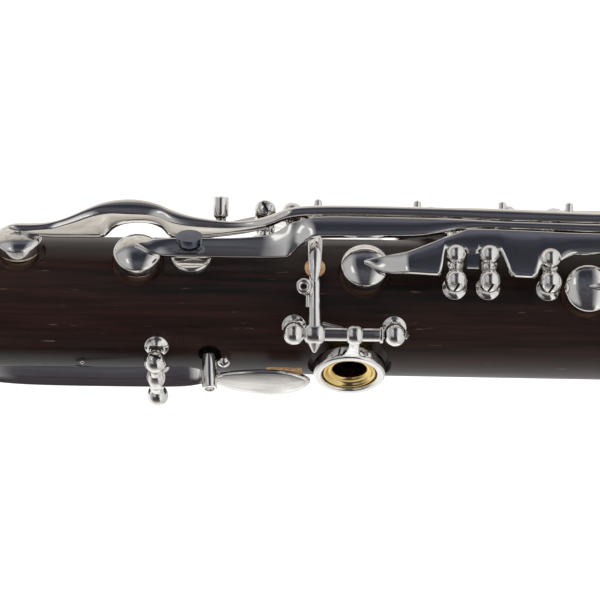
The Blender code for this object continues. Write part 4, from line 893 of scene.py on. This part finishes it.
# --------------------------------------------------------------------------- the side keys
# Stations: (z, lower b, upper b) in the plane of the bars, or off it
# (z, lower up, lower out, upper up, upper out) in the plane that faces SIDE_TH.
TRILL_BARS = (
    [(496.9, 14.6, 11.5, 15.2, 11.1), (495.6, 14.2, 11.8, 15.6, 10.9), (493.6, 14, 11.9, 15.7, 10.7),
     (491.2, 14.25, 11.6, 15.8, 10.3), (488.7, 14.45, 11.3, 16, 10.7), (486.4, 15.2, 10.5, 16.7, 10),
     (484.4, 16, 9.9, 17.6, 9.3), (481.5, 17.2, 9, 19.05, 8.2), (478.9, 17.8, 8.6, 20.15, 7.4),
     (475.4, 17.7, 8.5, 20.85, 6.7), (471.9, 17.65, 8.5, 20.86, 6.7), (468.2, 17.35, 8.7, 20.1, 7.3),
     (465.6, 16.1, 9.9, 18.9, 8.3), (461.3, 15.4, 10.3, 17.5, 9.3), (455.4, 15.2, 10.5, 16.7, 9.9),
     (451, 15.3, 10.9, 16.5, 10.5), (446.6, 15.8, 12, 17.6, 10.5), (442.6, 8.6, 10.5), (438.9, 9.1, 11.2),
     (430.3, 9.3, 11.4), (414.7, 9.2, 11.2), (401.1, 8.6, 11.1), (382.6, 8.3, 10.4), (368, 8.4, 10.6),
     (362, 8.4, 12.2), (350, 8.4, 12.4), (346, 9.2, 11.6)],
    [(472.1, 11.6, 14.2, 12, 13.9), (471, 11.2, 14.6, 12.5, 13.7), (469.6, 10.5, 15.1, 12.8, 13.3),
     (468.2, 9.9, 15.1, 12.9, 13.6), (465.7, 9.55, 14.6, 13.1, 13.4), (461.7, 9.5, 14.1, 13.2, 13.3),
     (453.5, 9.45, 14.1, 13.25, 13.3), (448.5, 9.5, 14.3, 13.6, 13.3), (445.8, 9.52, 14.6, 14, 13.4),
     (443.6, 9.6, 14.9, 15.1, 13.5), (441.9, 9.68, 15.2, 16.4, 13.5), (440.4, 11.8, 14.9, 16.7, 13.5),
     (437.5, 4.3, 8.6), (434.2, 4.4, 8.9), (416.7, 4.7, 8.8), (412.8, 5.5, 8.8), (407.9, 6.7, 8.6),
     (401.1, 6.8, 8.2), (382.7, 6.2, 7.9), (368.0, 6.2, 8.0), (362.0, 4.3, 8.0), (350.0, 4.3, 8.0),
     (346.0, 5.0, 7.4)],
    [(427.5, 8.7, 16.1, 9.2, 15.9), (426.2, 8.2, 16.6, 9.7, 15.9), (424.5, 7.2, 17.3, 10, 15.9),
     (422.6, 6.8, 18, 10.4, 16.2), (419.3, -3.6, 0.9), (414.1, -3.9, 3.3), (412.7, -3.9, 4),
     (412.1, 0.6, 4.4), (411.8, 1.9, 4.5), (408, 1.9, 6.1), (407.6, 1.2, 6.3), (405.6, 1.2, 6.4),
     (405.2, 1.9, 6.4), (401.5, 1.9, 6.4), (400.9, 0.9, 6.3), (399.4, -4, 6.3), (394.3, -4.2, 6.1),
     (393.5, -1, 6.1), (390.2, -1, 5.9), (387.4, 1.2, 5.8), (380, 1.5, 5.7), (376, -1.2, 5.7),
     (369, -1.2, 5.6), (367, -0.4, 5)], )
# The first bar's flat wing, cut round the second key's cup.
ARCH_WING = (
    (494.6, 14.1, 11.7, 14.3, 11.5), (493, 13.55, 12.3, 14.4, 11.4), (489, 13.5, 12.6, 14.8, 11),
    (484.4, 13.5, 12.9, 16.4, 9.5), (481.5, 13.5, 13.2, 17.6, 8.6), (478.4, 13.5, 13.3, 18.1, 8.2),
    (477.5, 14.1, 12, 18.1, 8.2), (476.7, 15.2, 11, 18.1, 8.2), (475.4, 16.05, 10.2, 18.1, 8.1),
    (473.7, 16.5, 9.7, 18.1, 8), (471.9, 16.65, 9.6, 18.1, 8), (469.9, 16.6, 9.6, 18, 8.1),
    (468.4, 16.2, 9.9, 17.8, 8.3), (466.9, 15.5, 10.6, 17.2, 8.9), (465.7, 14.1, 12.1, 16.6, 9.4),
    (464.6, 13.7, 12.5, 16.2, 9.7), (461.3, 13.55, 12.4, 15.9, 9.8), (455.4, 14.1, 12, 15.7, 10),
    (451, 14.8, 11.8, 15.7, 10.4), (446.6, 15.8, 12.3, 16.2, 11.5), )
TIP_THICK = {0: 0.4, 1: 0.8}


def beside(z, up, out):
    """A point by its height and distance in the plane that faces SIDE_TH."""
    return along(SIDE_TH) * up + outward(SIDE_TH) * out + UP * z


def ball(centre, radius):
    return revolve(arc(0, radius, -90, 90, 17), centre, UP, 32)


def bar_stations(stations, thick=PLATE):
    out = []
    for k, s in enumerate(stations):
        t = TIP_THICK.get(k, thick)
        if len(s) == 3:
            out.append((on_bars(s[0], BAR_A, s[1]), on_bars(s[0], BAR_A, s[2]), t))
        else:
            out.append((beside(s[0], s[1], s[2]), beside(s[0], s[3], s[4]), t))
    return out


def saddle(z, b):
    """Joins a bar to the hinge tube under it."""
    p0, p1 = pt(TRILL_TH[0], R_HINGE, z), pt(TRILL_TH[1], R_HINGE, z)
    n, t = outward(BAR_TH), along(BAR_TH)
    k = (b - p0.dot(t)) / (p1.dot(t) - p0.dot(t))
    a = p0.dot(n) + k * (p1.dot(n) - p0.dot(n)) + 0.6
    return block(on_bars(z, (a + BAR_A - 0.5) / 2, b), t, n, UP, 1.2, BAR_A - 0.5 - a, 2.6, 0.4)


TRILL_MID = sum(TRILL_TH) / 2
SADDLE_BALLS = ((4.8, 2.3), (4.8, 2.3), (3.7, 2.7))   # along the tube from the near post, and off it


def make_side_keys():
    reaches = (5.0, 3.0, 1.2)
    for k in range(3):
        z, th = TRILL_CUPS[k]
        axle = TRILL_AXLES[k]
        name = "side_key_%d" % (k + 1)
        solids = [plate(bar_stations(TRILL_BARS[k]), reach=reaches[k], crown=(0.22, 0.12, 0.1)[k]),
                  side_cup(z, th), saddle(axle, (9.5, 7.5, 3.5)[k])]
        if k == 0:
            solids.append(plate(bar_stations(ARCH_WING, 0.9), crown=0.0, reach=2.0,
                                edges=[0.15, 0.1, 0.15, 0.1, 0.1]))
        solids += cross_tube(axle, TRILL_TH, (0.13, 1.75, 1.2))
        along_tube, off_tube = SADDLE_BALLS[k]
        solids.append(ball(pt(TRILL_TH[0], R_HINGE, axle) + along(TRILL_MID) * along_tube
                           + outward(TRILL_MID) * off_tube, 2))
        if k == 2:
            tab = [(on_bars(zz, BAR_A - 0.6, -2.1), on_bars(zz, BAR_A - 0.6, 1.6)) for zz in (407.7, 405.4)]
            solids.append(plate(tab, 0.9, 0.0))
        key_metal(name, solids)
        skin(name + "_pad_skin", name, side_pad(z, th), [name + "_pad"])
        cross_pivot(name + "_posts", [name + "_pivot"], axle, TRILL_TH, screws=((0, 2.75), (1, 0.4)))
    z, th = TRILL_CUPS[3]
    lever = side_plate([(384.1, 71.4, 72.5, 18.5, 0.4), (382.8, 70.3, 73.8, 18.8, 0.8),
                        (380.5, 69, 75, 19.1), (374, 67, 76, 19.7), (366, 65, 76, 19.9),
                        (357, 64, 77, 19.9), (350, 64, 80, 20.2), (340.0, 64.0, 80.0, 20.2),
                        (337.6, 66.0, 78.0, 20.0, 1.2), (337.0, 69.0, 75.0, 19.9, 0.9)])
    solids = [lever, side_cup(z, th)] + cross_tube(FOURTH_AXLE, FOURTH_TH, (0.5, 2.0, 2.2))
    key_metal("side_key_4", solids)
    skin("side_key_4_pad_skin", "side_key_4", side_pad(z, th), ["side_key_4_pad"])
    cross_pivot("side_key_4_posts", ["side_key_4_pivot"], FOURTH_AXLE, FOURTH_TH)


def make_guide_posts():
    """The guide beside side key 2's bar, of which the cut leaves only the flange and the dish's
    knob, the dish painted dark as shade, and a small peg by the throat keys."""
    axis = outward(118)
    foot = pt(88, 14.0, 461.2)
    base = foot + outward(SIDE_TH) * 4.6
    flange = radial([(0, 12), (3.9, 12), (3.9, 13.9, 0.15), (3.5, 14.15, 0.2), (0, 14.2)], 461.2, 100, 48)
    stem = rod(foot - outward(SIDE_TH) * 1.2, base + axis * 2.0, 1.2, 28)
    cap = revolve([(0, 0.8), (2.1, 0.8, 0.3), (2.6, 1.6, 0.8), (2.78, 5.35, 0.12), (2.6, 5.5, 0.1),
                   (0, 5.5)], base, axis, 48)
    dish = revolve([(0, 4.0), (1.6, 4.2, 0.6), (2.5, 5.6), (2.5, 7.0), (0, 7.0)], base, axis, 48)
    # The dish's faces take the dark blue-grey metal: painted shade and dark reflection in the hollow
    plated("side_key_guide", [flange, stem, cap], cuts=[(dish, DISH_SHADE_METAL)])
    peg = revolve([(0, 0), (1.1, 0), (1.1, 2, 0.3), (1.6, 2.3, 0.2), (1.6, 6.1, 0.2), (1.1, 6.1, 0.1),
                   (1.1, 5), (0, 5)], pt(136, 15.8, 455.8), outward(141), 28)
    plated("throat_guide_peg", [peg])


# ---------------------------------------------------------------------------- the front keys
def flat_lever(stations):
    """A side_plate whose stations are (z, middle th, half its width in th, r[, thickness])."""
    return side_plate([(z, c - w, c + w, r, *t) for z, c, w, r, *t in stations])


def make_throat_keys():
    p0, p1 = pt(THROAT_TH[0], THROAT_R, THROAT_Z), pt(THROAT_TH[1], THROAT_R, THROAT_Z)
    d, length, split, e = (p1 - p0).normalized(), (p1 - p0).length, 0.56, BALL_R + 0.15
    a_lever = flat_lever([(462.3, 175, 1, 17.2, 0.4), (460.8, 175, 2.6, 17.4, 0.9), (457, 174, 5, 17.8),
                          (THROAT_Z, 163, 6.5, 18.9), (440, 174, 8, 19.4), (433, 178, 12, 19.7),
                          (425, 178, 12, 19.5), (422.8, 178, 9, 19.2, 1), (422.3, 178, 5, 19, 0.8)])
    key_metal("throat_a_key", [a_lever, dome(*A_CUP, 4.6)] + tube(p0 + d * e,
        p0 + d * (length * split - 0.1), ((0.6, 2.0, 1.8),)))
    g_lever = flat_lever([(463.2, 212, 1, 17.4, 0.4), (461.5, 211, 3.5, 17.9, 0.9), (457, 206, 6, 18.8),
                          (THROAT_Z, 192, 6, 18.9), (441, 197, 7, 19.4), (436, 206, 8, 19.8),
                          (427, 210, 11, 19.8), (424.4, 210, 9, 19.5, 1), (423.8, 210, 5, 19.3, 0.8)])
    key_metal("throat_g_sharp_key", [g_lever, dome(*GS_CUP, 4.4)]
              + tube(p0 + d * (length * split + 0.35), p1 - d * e, ((0.4, 2.0, 1.6),)))
    skin("throat_a_pad_skin", "throat_a_key", pad(*A_CUP, 4.6))
    skin("throat_g_sharp_pad_skin", "throat_g_sharp_key", pad(*GS_CUP, 4.4))
    cross_pivot("throat_posts", ["throat_keys_pivot"], THROAT_Z, THROAT_TH, THROAT_R)


def ring_arm(z, r=R_HINGE, top=16.6):
    return arm_at(z, [(STACK_TH, r + 1.5, 2.6, 1.4), (147, r + 0.9, 2.6, 1.6), (153, top + 1.9, 2.9, 1.9),
                      (157.6, top + 0.75, 4.6, 1.9), (160.5, top + 0.45, 6.4, 1.8)], crown=0.12)


def bump_screw(z):
    """A small adjusting screw on the upper stack."""
    return revolve([(0, 0), (0.95, 0), (0.85, 1.9, 0.35), (0, 2.4)], pt(139, R_HINGE + 0.7, z),
                   outward(139), 20)


def make_upper_stack():
    th, r = STACK_TH, R_HINGE
    tail = arm_at(437, [(th, r + 1.2, 2.6), (124, 18.8, 2.6), (108, 18.2, 2.9), (92, 17.8, 2.8),
                        (82, 17.4, 2.5), (76, 17.25, 1.7, 0.9), (72.6, 17.1, 0.5, 0.5)], 1.1, crown=0.3,
                        edges=[0.5, 9, 0.5, 0.2, 0.2])
    solids = [ring(L_HOLES[0]), ring_arm(L_HOLES[0]), tail, bead(th, r, L_HOLES[0], (1.6, 2.2)),
              bead(th, r, 437, (1.6, 1.8))]
    solids += [bump_screw(z) for z in (436.5, 416.8)]
    key_metal("upper_ring_key", solids + post_tube(th, UP_POSTS[:2]))
    cup_arm = arm_at(BRIDGE_CUP[0], [(th, r + 1.3, 2.6), (152, 18.9, 2.4), (161, 18.6, 2.4),
                                     (BRIDGE_CUP[1], 18.4, 1, 0.8)], 1.5)
    root = strap([(th, r + 1.2, 356, 3.2), (133, 21.2, 356, 3.2), (128.5, 22.6, 356.5, 5),
                  (125, 22.8, 357, 4)], 1.4)
    bridge = side_plate([(359, 125, 132, 22.6, 1), (354, 124.6, 132.4, 22.9), (340, 124.6, 132.4, 22.9),
                         (328.0, 125.4, 131.6, 22.8), (326.2, 127.0, 130.0, 22.7, 1.0)])
    solids = [ring(L_HOLES[1]), ring_arm(L_HOLES[1]), cup_arm, dome(*BRIDGE_CUP, 4.4, 0.9), root, bridge,
              bead(th, r, L_HOLES[1], (1.6, 2.2)), bead(th, r, BRIDGE_CUP[0], (1.9, 1.8)),
              bead(th, r, 356, (1.9, 1.9))]
    solids.append(bump_screw(386.6))
    key_metal("bridge_ring_key", solids + post_tube(th, UP_POSTS[1:]))
    skin("bridge_pad_skin", "bridge_ring_key", pad(*BRIDGE_CUP, 4.4, 0.9))
    piece("bridge_key_cork", "bridge_ring_key", CORK,
          [block(pt(128.5, 21.45, 333.5), along(128.5), outward(128.5), UP, 2.4, 0.45, 7.0, 0.1)])
    axial_pivot("upper_stack_posts", ["upper_ring_keys_pivot"], th, UP_POSTS)
    plated("upper_stack_screw", [bump_screw(399.9)])


def make_sliver_key(label, touch, touch_z, cup, radius, r, arm_r, posts):
    """A key between two finger holes: a thin touch on the front, a hinge, and a cup behind it.
    arm_r is the radius of the cup's arm at its bend and at its tip."""
    name = "sliver_key_" + label
    root, bend_r, tip_r = r + 1.2, *arm_r
    arm = arm_at(cup[0], [(SLIVER_TH, root, 2.6), (240, bend_r, 2.5), (cup[1], tip_r, 0.8, 0.7)], 1.6)
    solids = [strap([(SLIVER_TH, root, touch_z, 3.0)] + touch, 1.4, reach=6), arm, dome(*cup, radius)]
    solids += [bead(SLIVER_TH, r, touch_z, (1.9, 1.9)), bead(SLIVER_TH, r, cup[0], (1.9, 1.7))]
    key_metal(name, solids + post_tube(SLIVER_TH, posts, r))
    skin("sliver_%s_pad_skin" % label, name, pad(*cup, radius))
    axial_pivot("sliver_%s_posts" % label, [name + "_pivot"], SLIVER_TH, posts, r)


def make_upper_left():
    r, z = R_HINGE, 376.0
    touch = [(219, 19.6, 375.5, 2.8), (210, 18.7, 375.6, 3.6), (203, 18.3, z, 5.2), (196, 18.1, z, 5.8),
             (190, 18, z, 4.6), (186.6, 17.9, z, 1.4)]
    make_sliver_key("e_flat", touch, 375.5, EB_CUP, 4.2, r, (18.7, 17.4), EB_POSTS)
    th = CS_TH
    arm = arm_at(CS_CUP[0], [(th, r + 1.2, 3), (248, 19.4, 2.8), (236, 18.4, 2.6), (228, 17.8, 1.8, 1),
                             (CS_CUP[1], 17.5, 0.8, 0.6)], 1.5)
    touch = arm_at(347, [(th, r + 1.2, 3.2), (270, 20.6, 3.4), (277, 21.2, 6), (284, 21.4, 9.2),
                         (298, 21.4, 9.6), (305, 21.2, 7.5), (307.5, 21, 3.6)], 1.4, reach=6)
    solids = [arm, touch, dome(*CS_CUP, 5.0), bead(th, r, 345.6, (2.0, 2.8))]
    key_metal("c_sharp_key", solids + post_tube(CS_TH, CS_POSTS))
    skin("c_sharp_pad_skin", "c_sharp_key", pad(*CS_CUP, 5.0))
    axial_pivot("c_sharp_posts", ["c_sharp_key_pivot"], CS_TH, CS_POSTS)


def make_lower_stack():
    th, r = STACK_TH, R_HINGE + 0.6
    solids = []
    for z in R_HOLES:
        solids += [ring(z, top=17.0), ring_arm(z, r, 17.0), bead(th, r, z)]
    root = arm_at(304.5, [(th, r + 1.2, 3.2), (132, 21.6, 3.2), (126, 21.8, 3.2)], 1.6)
    bridge = side_plate([(302.6, 124, 132, 21.8), (306.0, 124, 132, 21.8), (316.0, 124, 132, 20.6),
                         (334.0, 124, 132, 20.6), (337.0, 125.5, 130.5, 20.6)])
    solids += [root, bridge, bead(th, r, 304.5, (2.0, 1.8))]
    key_metal("lower_ring_key", solids + post_tube(th, LOW_POSTS, r))
    axial_pivot("lower_stack_posts", ["lower_ring_key_pivot"], th, LOW_POSTS, r)
    z = 262.5
    touch = [(219, 20, z, 2.8), (210, 19.2, z, 3.6), (203, 18.8, z, 5.2), (196, 18.5, z, 5.8),
             (190, 18.4, z, 4.6), (186.6, 18.3, z, 1.4)]
    make_sliver_key("b", touch, z, BF_CUP, 4.4, r, (19.2, 17.9), BF_POSTS)


def paddle(z, z_arm, top, to=98.0):
    """Stations of a little finger's touch at z, at the end of an arm at z_arm."""
    length = 11.0
    return [(130, top, z_arm, 3.2), (126, top, (z_arm + z) / 2, length * 0.8), (121, top + 0.1, z, length),
            (104, top + 0.1, z, length), (to, top - 0.1, z, length * 0.9),
            (to - 3.4, top - 0.3, z, length * 0.5)]


def make_long_key(name, line, posts, z_arm, touch_z, cup_at, tail_z, crest):
    """A right little finger's key whose tail a left-hand lever lifts.

    crest lifts its arms over a neighbour."""
    r = R_LOW
    top = 21.6 + crest
    arm = [(line, r + 1.3, z_arm, 2.8), (line - 9, top - 0.4, z_arm,
        2.8)] + [(line - 9 + (141 - line) * k / 5, top, z_arm, 2.8) for k in range(1, 6)]
    first = line - 8
    pad_arm = [(line, r + 1.3, 3.0), (first, 20.8 + crest * 1.6, 3.0)]
    if crest:
        pad_arm.append((first - 21, 23.2, 3.0))
    pad_arm += [(cup_at[1] + 12, 20.4, 2.8), (cup_at[1] + 4, 19.5, 2.2), (cup_at[1], 19.3, 0.9, 0.8)]
    tail = arm_at(tail_z, [(line, r + 1.2, 2.4), (line + 10.5, r + 2.2, 2.2), (line + 21, r + 2.2, 2.2)],
                  1.2)
    touch = strap(arm + paddle(touch_z, z_arm, top + 0.3), 1.5)
    solids = [touch, arm_at(cup_at[0], pad_arm, 1.7), dome(*cup_at, 6.0, 0.9, 64), tail]
    solids += [bead(line, r, z, (2.0, 1.9)) for z in (z_arm, cup_at[0])]
    key_metal(name, solids + post_tube(line, (posts[1], posts[0]), r))
    skin(name + "_pad_skin", name, pad(*cup_at, 6.0, 0.9))


def make_right_little_keys():
    r = R_LOW
    make_long_key("e_key", LINE_E, E_POSTS[:2], 204.0, 204.0, EB_LOW, TAIL_E, 0.0)
    make_long_key("f_sharp_key", LINE_F, FS_POSTS, 196.0, 190.0, FS_LOW, TAIL_F, 1.6)
    z = F_CUP[0]
    path = ((LINE_E, r + 1.2), (213, 20.9), (196, 20.6), (180, 20.2), (165, 20.6), (150, 21.3), (137, 21.6))
    arm = [(th, n, z, 2.8) for th, n in path]
    key_metal("f_key", [strap(arm + paddle(222.0, z, 21.9, to=101.0), 1.5), dome(z, F_CUP[1], 5.2, 0.9)]
              + axial_tube(LINE_E, *F_TUBE, r))
    skin("f_key_pad_skin", "f_key", pad(z, F_CUP[1], 5.2, 0.9))
    axial_pivot("e_key_posts", ["e_key_pivot"], LINE_E, E_POSTS, r)
    axial_pivot("f_sharp_key_posts", ["f_sharp_key_pivot"], LINE_F, FS_POSTS, r)


def make_e_flat_key():
    e, r = TUBE_END, R_LOW
    touch = [(AB_TH, r + 1.2, 221, 3), (68, 21.2, 221, 5), (73, 21.5, 220.5, 11.5), (76, 21.6, 220.5, 12),
             (83, 21.6, 220.5, 12), (86, 21.4, 220.5, 10), (87.5, 21.3, 220.5, 6)]
    pad_arm = arm_at(AB_CUP[0], [(AB_TH, r + 1.2, 2.8), (50, 20.1, 2.8), (40, 18.9, 2.2),
                                 (AB_CUP[1], 18.1, 0.9, 0.8)], 1.7)
    solids = [strap(touch, 1.5), pad_arm, dome(*AB_CUP, 5), bead(AB_TH, r, 221, (2, 1.9)),
              bead(AB_TH, r, AB_CUP[0], (2, 1.9))]
    key_metal("e_flat_key", solids + axial_tube(AB_TH, *AB_TUBE, r))
    skin("e_flat_pad_skin", "e_flat_key", pad(*AB_CUP, 5.0))
    axial_pivot("e_flat_key_posts", ["e_flat_key_pivot"], AB_TH,
                (AB_TUBE[0] - e - 0.2, AB_TUBE[1] + e + 0.2), r)


def make_left_levers():
    e, r = TUBE_END, R_LOW
    for name, line, tail_z, touch_z, zs in (("left_e_lever", LEFT_E, TAIL_E, 305.0, (217.5, 307.0)),
        ("left_f_sharp_lever", LEFT_F, TAIL_F, 281.0, (185.5, 284.0))):
        arm = arm_at(tail_z, [(line, r + 1.2, 2.2), (line - 10, 20.1, 2.2), (line - 22, 20, 2.2)], 1.3)
        touch = [(line, r + 1.2, touch_z, 3.2), (line + 7, 21.4, touch_z, 4),
                 (line + 12, 22, touch_z + 0.6, 9), (line + 16, 22.1, touch_z + 1, 11.4),
                 (line + 27, 22.1, touch_z + 1, 11.4), (line + 31.5, 22, touch_z + 1, 8.4),
                 (line + 33, 21.8, touch_z + 1, 4.4)]
        solids = [arm, strap(touch, 1.5), bead(line, r, touch_z, (2, 1.7)),
                  bead(line, r, tail_z, (1.9, 1.6))]
        key_metal(name, solids + axial_tube(line, *zs, r))
        axial_pivot(name + "_posts", [name + "_pivot"], line, (zs[0] - e - 0.2, zs[1] + e + 0.2), r)


# ------------------------------------------------------------------ floor, lights and camera
VIEW_TH = 57.0                     # the camera looks at this side of the body
VIEW_ROLL = radians(0.81)
CAM_DISTANCE, CAM_Z, CAM_UP, HALF_FIELD = 480.0, 439.8, 1.32, 60.0


def make_camera():
    a, n = along(VIEW_TH), outward(VIEW_TH)
    right = -UP * cos(VIEW_ROLL) + a * sin(VIEW_ROLL)
    up = a * cos(VIEW_ROLL) + UP * sin(VIEW_ROLL)
    camera = bpy.data.cameras.new("camera")
    camera.angle = 2 * atan(HALF_FIELD / CAM_DISTANCE)
    camera.clip_start, camera.clip_end = 0.01, 30.0
    obj = bpy.data.objects.new("camera", camera)
    matrix = Matrix((right, up, n)).transposed().to_4x4()
    matrix.translation = (n * CAM_DISTANCE + a * CAM_UP + UP * CAM_Z) * MM
    obj.matrix_world = matrix
    bpy.context.scene.collection.objects.link(obj)
    bpy.context.scene.camera = obj


WHITE = (1.0, 1.0, 1.0, 1)

# Brightness round the body as polished metal sees it: (degrees from the front of the main
# view towards the trill keys' side, red, green, blue).
SURROUND = (
    (-180, 1.00, 1.00, 1.00), (-135, 1.00, 1.00, 1.00), (-112, 0.93, 0.93, 0.92), (-92, 0.66, 0.64, 0.62),
    (-74, 0.26, 0.25, 0.24), (-56, 0.07, 0.062, 0.066), (-38, 0.05, 0.043, 0.047),
    (-14, 0.05, 0.045, 0.052), (8, 0.06, 0.058, 0.068), (26, 0.075, 0.075, 0.09), (38, 0.08, 0.082, 0.10),
    (48, 0.045, 0.048, 0.062), (58, 0.030, 0.031, 0.041), (66, 0.045, 0.046, 0.062),
    (74, 0.14, 0.145, 0.185), (81, 0.09, 0.09, 0.10), (87, 0.46, 0.43, 0.39), (100, 0.66, 0.62, 0.57),
    (126, 0.74, 0.70, 0.65), (150, 0.93, 0.91, 0.89), (180, 1.00, 1.00, 1.00), )


def make_world():
    """White for the camera. For everything else the surround, its pale walls and its panels."""
    world = bpy.data.worlds.new("studio")
    bpy.context.scene.world = world
    world.use_nodes = True
    tree = world.node_tree
    tree.nodes.clear()
    link = tree.links.new
    place = tree.nodes.new("ShaderNodeTexCoord")

    def dot(direction):
        node = tree.nodes.new("ShaderNodeVectorMath")
        node.operation = "DOT_PRODUCT"
        node.inputs[1].default_value = direction
        link(place.outputs["Generated"], node.inputs[0])
        return node.outputs["Value"]

    def math(operation, a, b=0.0, c=0.0):
        node = tree.nodes.new("ShaderNodeMath")
        node.operation = operation
        for value, socket in ((a, node.inputs[0]), (b, node.inputs[1]), (c, node.inputs[2])):
            if isinstance(value, bpy.types.NodeSocket):
                link(value, socket)
            else:
                socket.default_value = value
        return node.outputs[0]

    def window(value, centre, half, slope):
        """1 within half of the centre, falling to 0 outside it."""
        inside = math("SUBTRACT", half, math("ABSOLUTE", math("SUBTRACT", value, centre)))
        return math("MINIMUM", math("MAXIMUM", math("MULTIPLY", inside, slope), 0.0), 1.0)

    def background(colour, strength):
        node = tree.nodes.new("ShaderNodeBackground")
        node.inputs["Strength"].default_value = strength
        if isinstance(colour, bpy.types.NodeSocket):
            link(colour, node.inputs["Color"])
        else:
            node.inputs["Color"].default_value = colour
        return node.outputs["Background"]

    toward, upward, lengthwise = dot(outward(VIEW_TH)), dot(along(VIEW_TH)), dot(UP)
    angle = math("ARCTAN2", upward, toward)
    share = math("ADD", math("DIVIDE", angle, 2 * pi), 0.5)
    tint = ramp(tree, share, [((degrees + 180) / 360, colour) for degrees, *colour in SURROUND])
    streaks = tree.nodes.new("ShaderNodeTexNoise")
    streaks.inputs["Scale"].default_value = 9.0
    streaks.inputs["Detail"].default_value = 5.0
    link(place.outputs["Generated"], streaks.inputs["Vector"])
    uneven = mixed(tree, tint, math("MULTIPLY_ADD", streaks.outputs["Fac"], 1.2, 0.4), 1.0, "MULTIPLY")
    # Pale walls on both sides of the dark middle, each with a small white panel, and pale ends.
    sideways = math("ABSOLUTE", lengthwise)
    wall = math("MULTIPLY", window(sideways, 0.52, 0.34, 6.0), window(angle, radians(30), radians(58), 3.0))
    right = math("MULTIPLY", window(lengthwise, -0.42, 0.06, 40.0),
                 window(angle, radians(45), radians(12), 20.0))
    left = math("MULTIPLY", window(lengthwise, 0.36, 0.06, 40.0),
                window(angle, radians(45), radians(10), 20.0))
    panel = math("MAXIMUM", math("MULTIPLY", wall, 0.42), math("MAXIMUM", left, right))
    ends = math("MULTIPLY", math("MAXIMUM", math("SUBTRACT", math("ABSOLUTE", lengthwise), 0.62), 0.0), 1.6)
    glow = math("MAXIMUM", panel, math("MINIMUM", ends, 0.75))
    scene_light = background(mixed(tree, uneven, WHITE, glow), 1.0)
    backdrop = background(WHITE, 1.25)
    path = tree.nodes.new("ShaderNodeLightPath")
    choose = tree.nodes.new("ShaderNodeMixShader")
    out = tree.nodes.new("ShaderNodeOutputWorld")
    link(path.outputs["Is Camera Ray"], choose.inputs["Fac"])
    link(scene_light, choose.inputs[1])
    link(backdrop, choose.inputs[2])
    link(choose.outputs["Shader"], out.inputs["Surface"])


def make_light(name, th, r, z, size, watts):
    light = bpy.data.lights.new(name, "AREA")
    light.shape = "RECTANGLE"
    light.size, light.size_y = size
    light.energy = watts
    obj = bpy.data.objects.new(name, light)
    obj.location = pt(th, r, z) * MM
    obj.rotation_euler = (pt(th, r, z) - UP * 400).to_track_quat("Z", "Y").to_euler()
    obj.visible_glossy = False
    bpy.context.scene.collection.objects.link(obj)


def make_floor():
    half = 1.1
    mesh = bpy.data.meshes.new("floor")
    count = 64
    mesh.from_pydata([(half * cos(2 * pi * k / count), half * sin(2 * pi * k / count), -0.0006)
                      for k in range(count)], [], [tuple(range(count))])
    floor = bpy.data.objects.new("floor", mesh)
    bpy.context.scene.collection.objects.link(floor)
    mat = soft("floor_paper", (0.80, 0.80, 0.80), (0.84, 0.84, 0.84), 60, 0.8, 0.00002)
    floor.data.materials.append(mat)


make_upper_joint()
make_lower_joint()
make_bell()
make_barrel()
make_mouthpiece()
make_reed()
make_ligature()
make_thumb_rest()
make_register_key()
make_thumb_keys()
make_side_keys()
make_guide_posts()
make_throat_keys()
make_upper_stack()
make_upper_left()
make_lower_stack()
make_right_little_keys()
make_e_flat_key()
make_left_levers()
make_floor()
make_camera()
make_world()
make_light("key", 100, 900, 620, (0.5, 0.5), 3.0)
make_light("fill", 20, 900, 300, (0.6, 0.6), 2.0)
bpy.context.scene.view_settings.view_transform = "Standard"
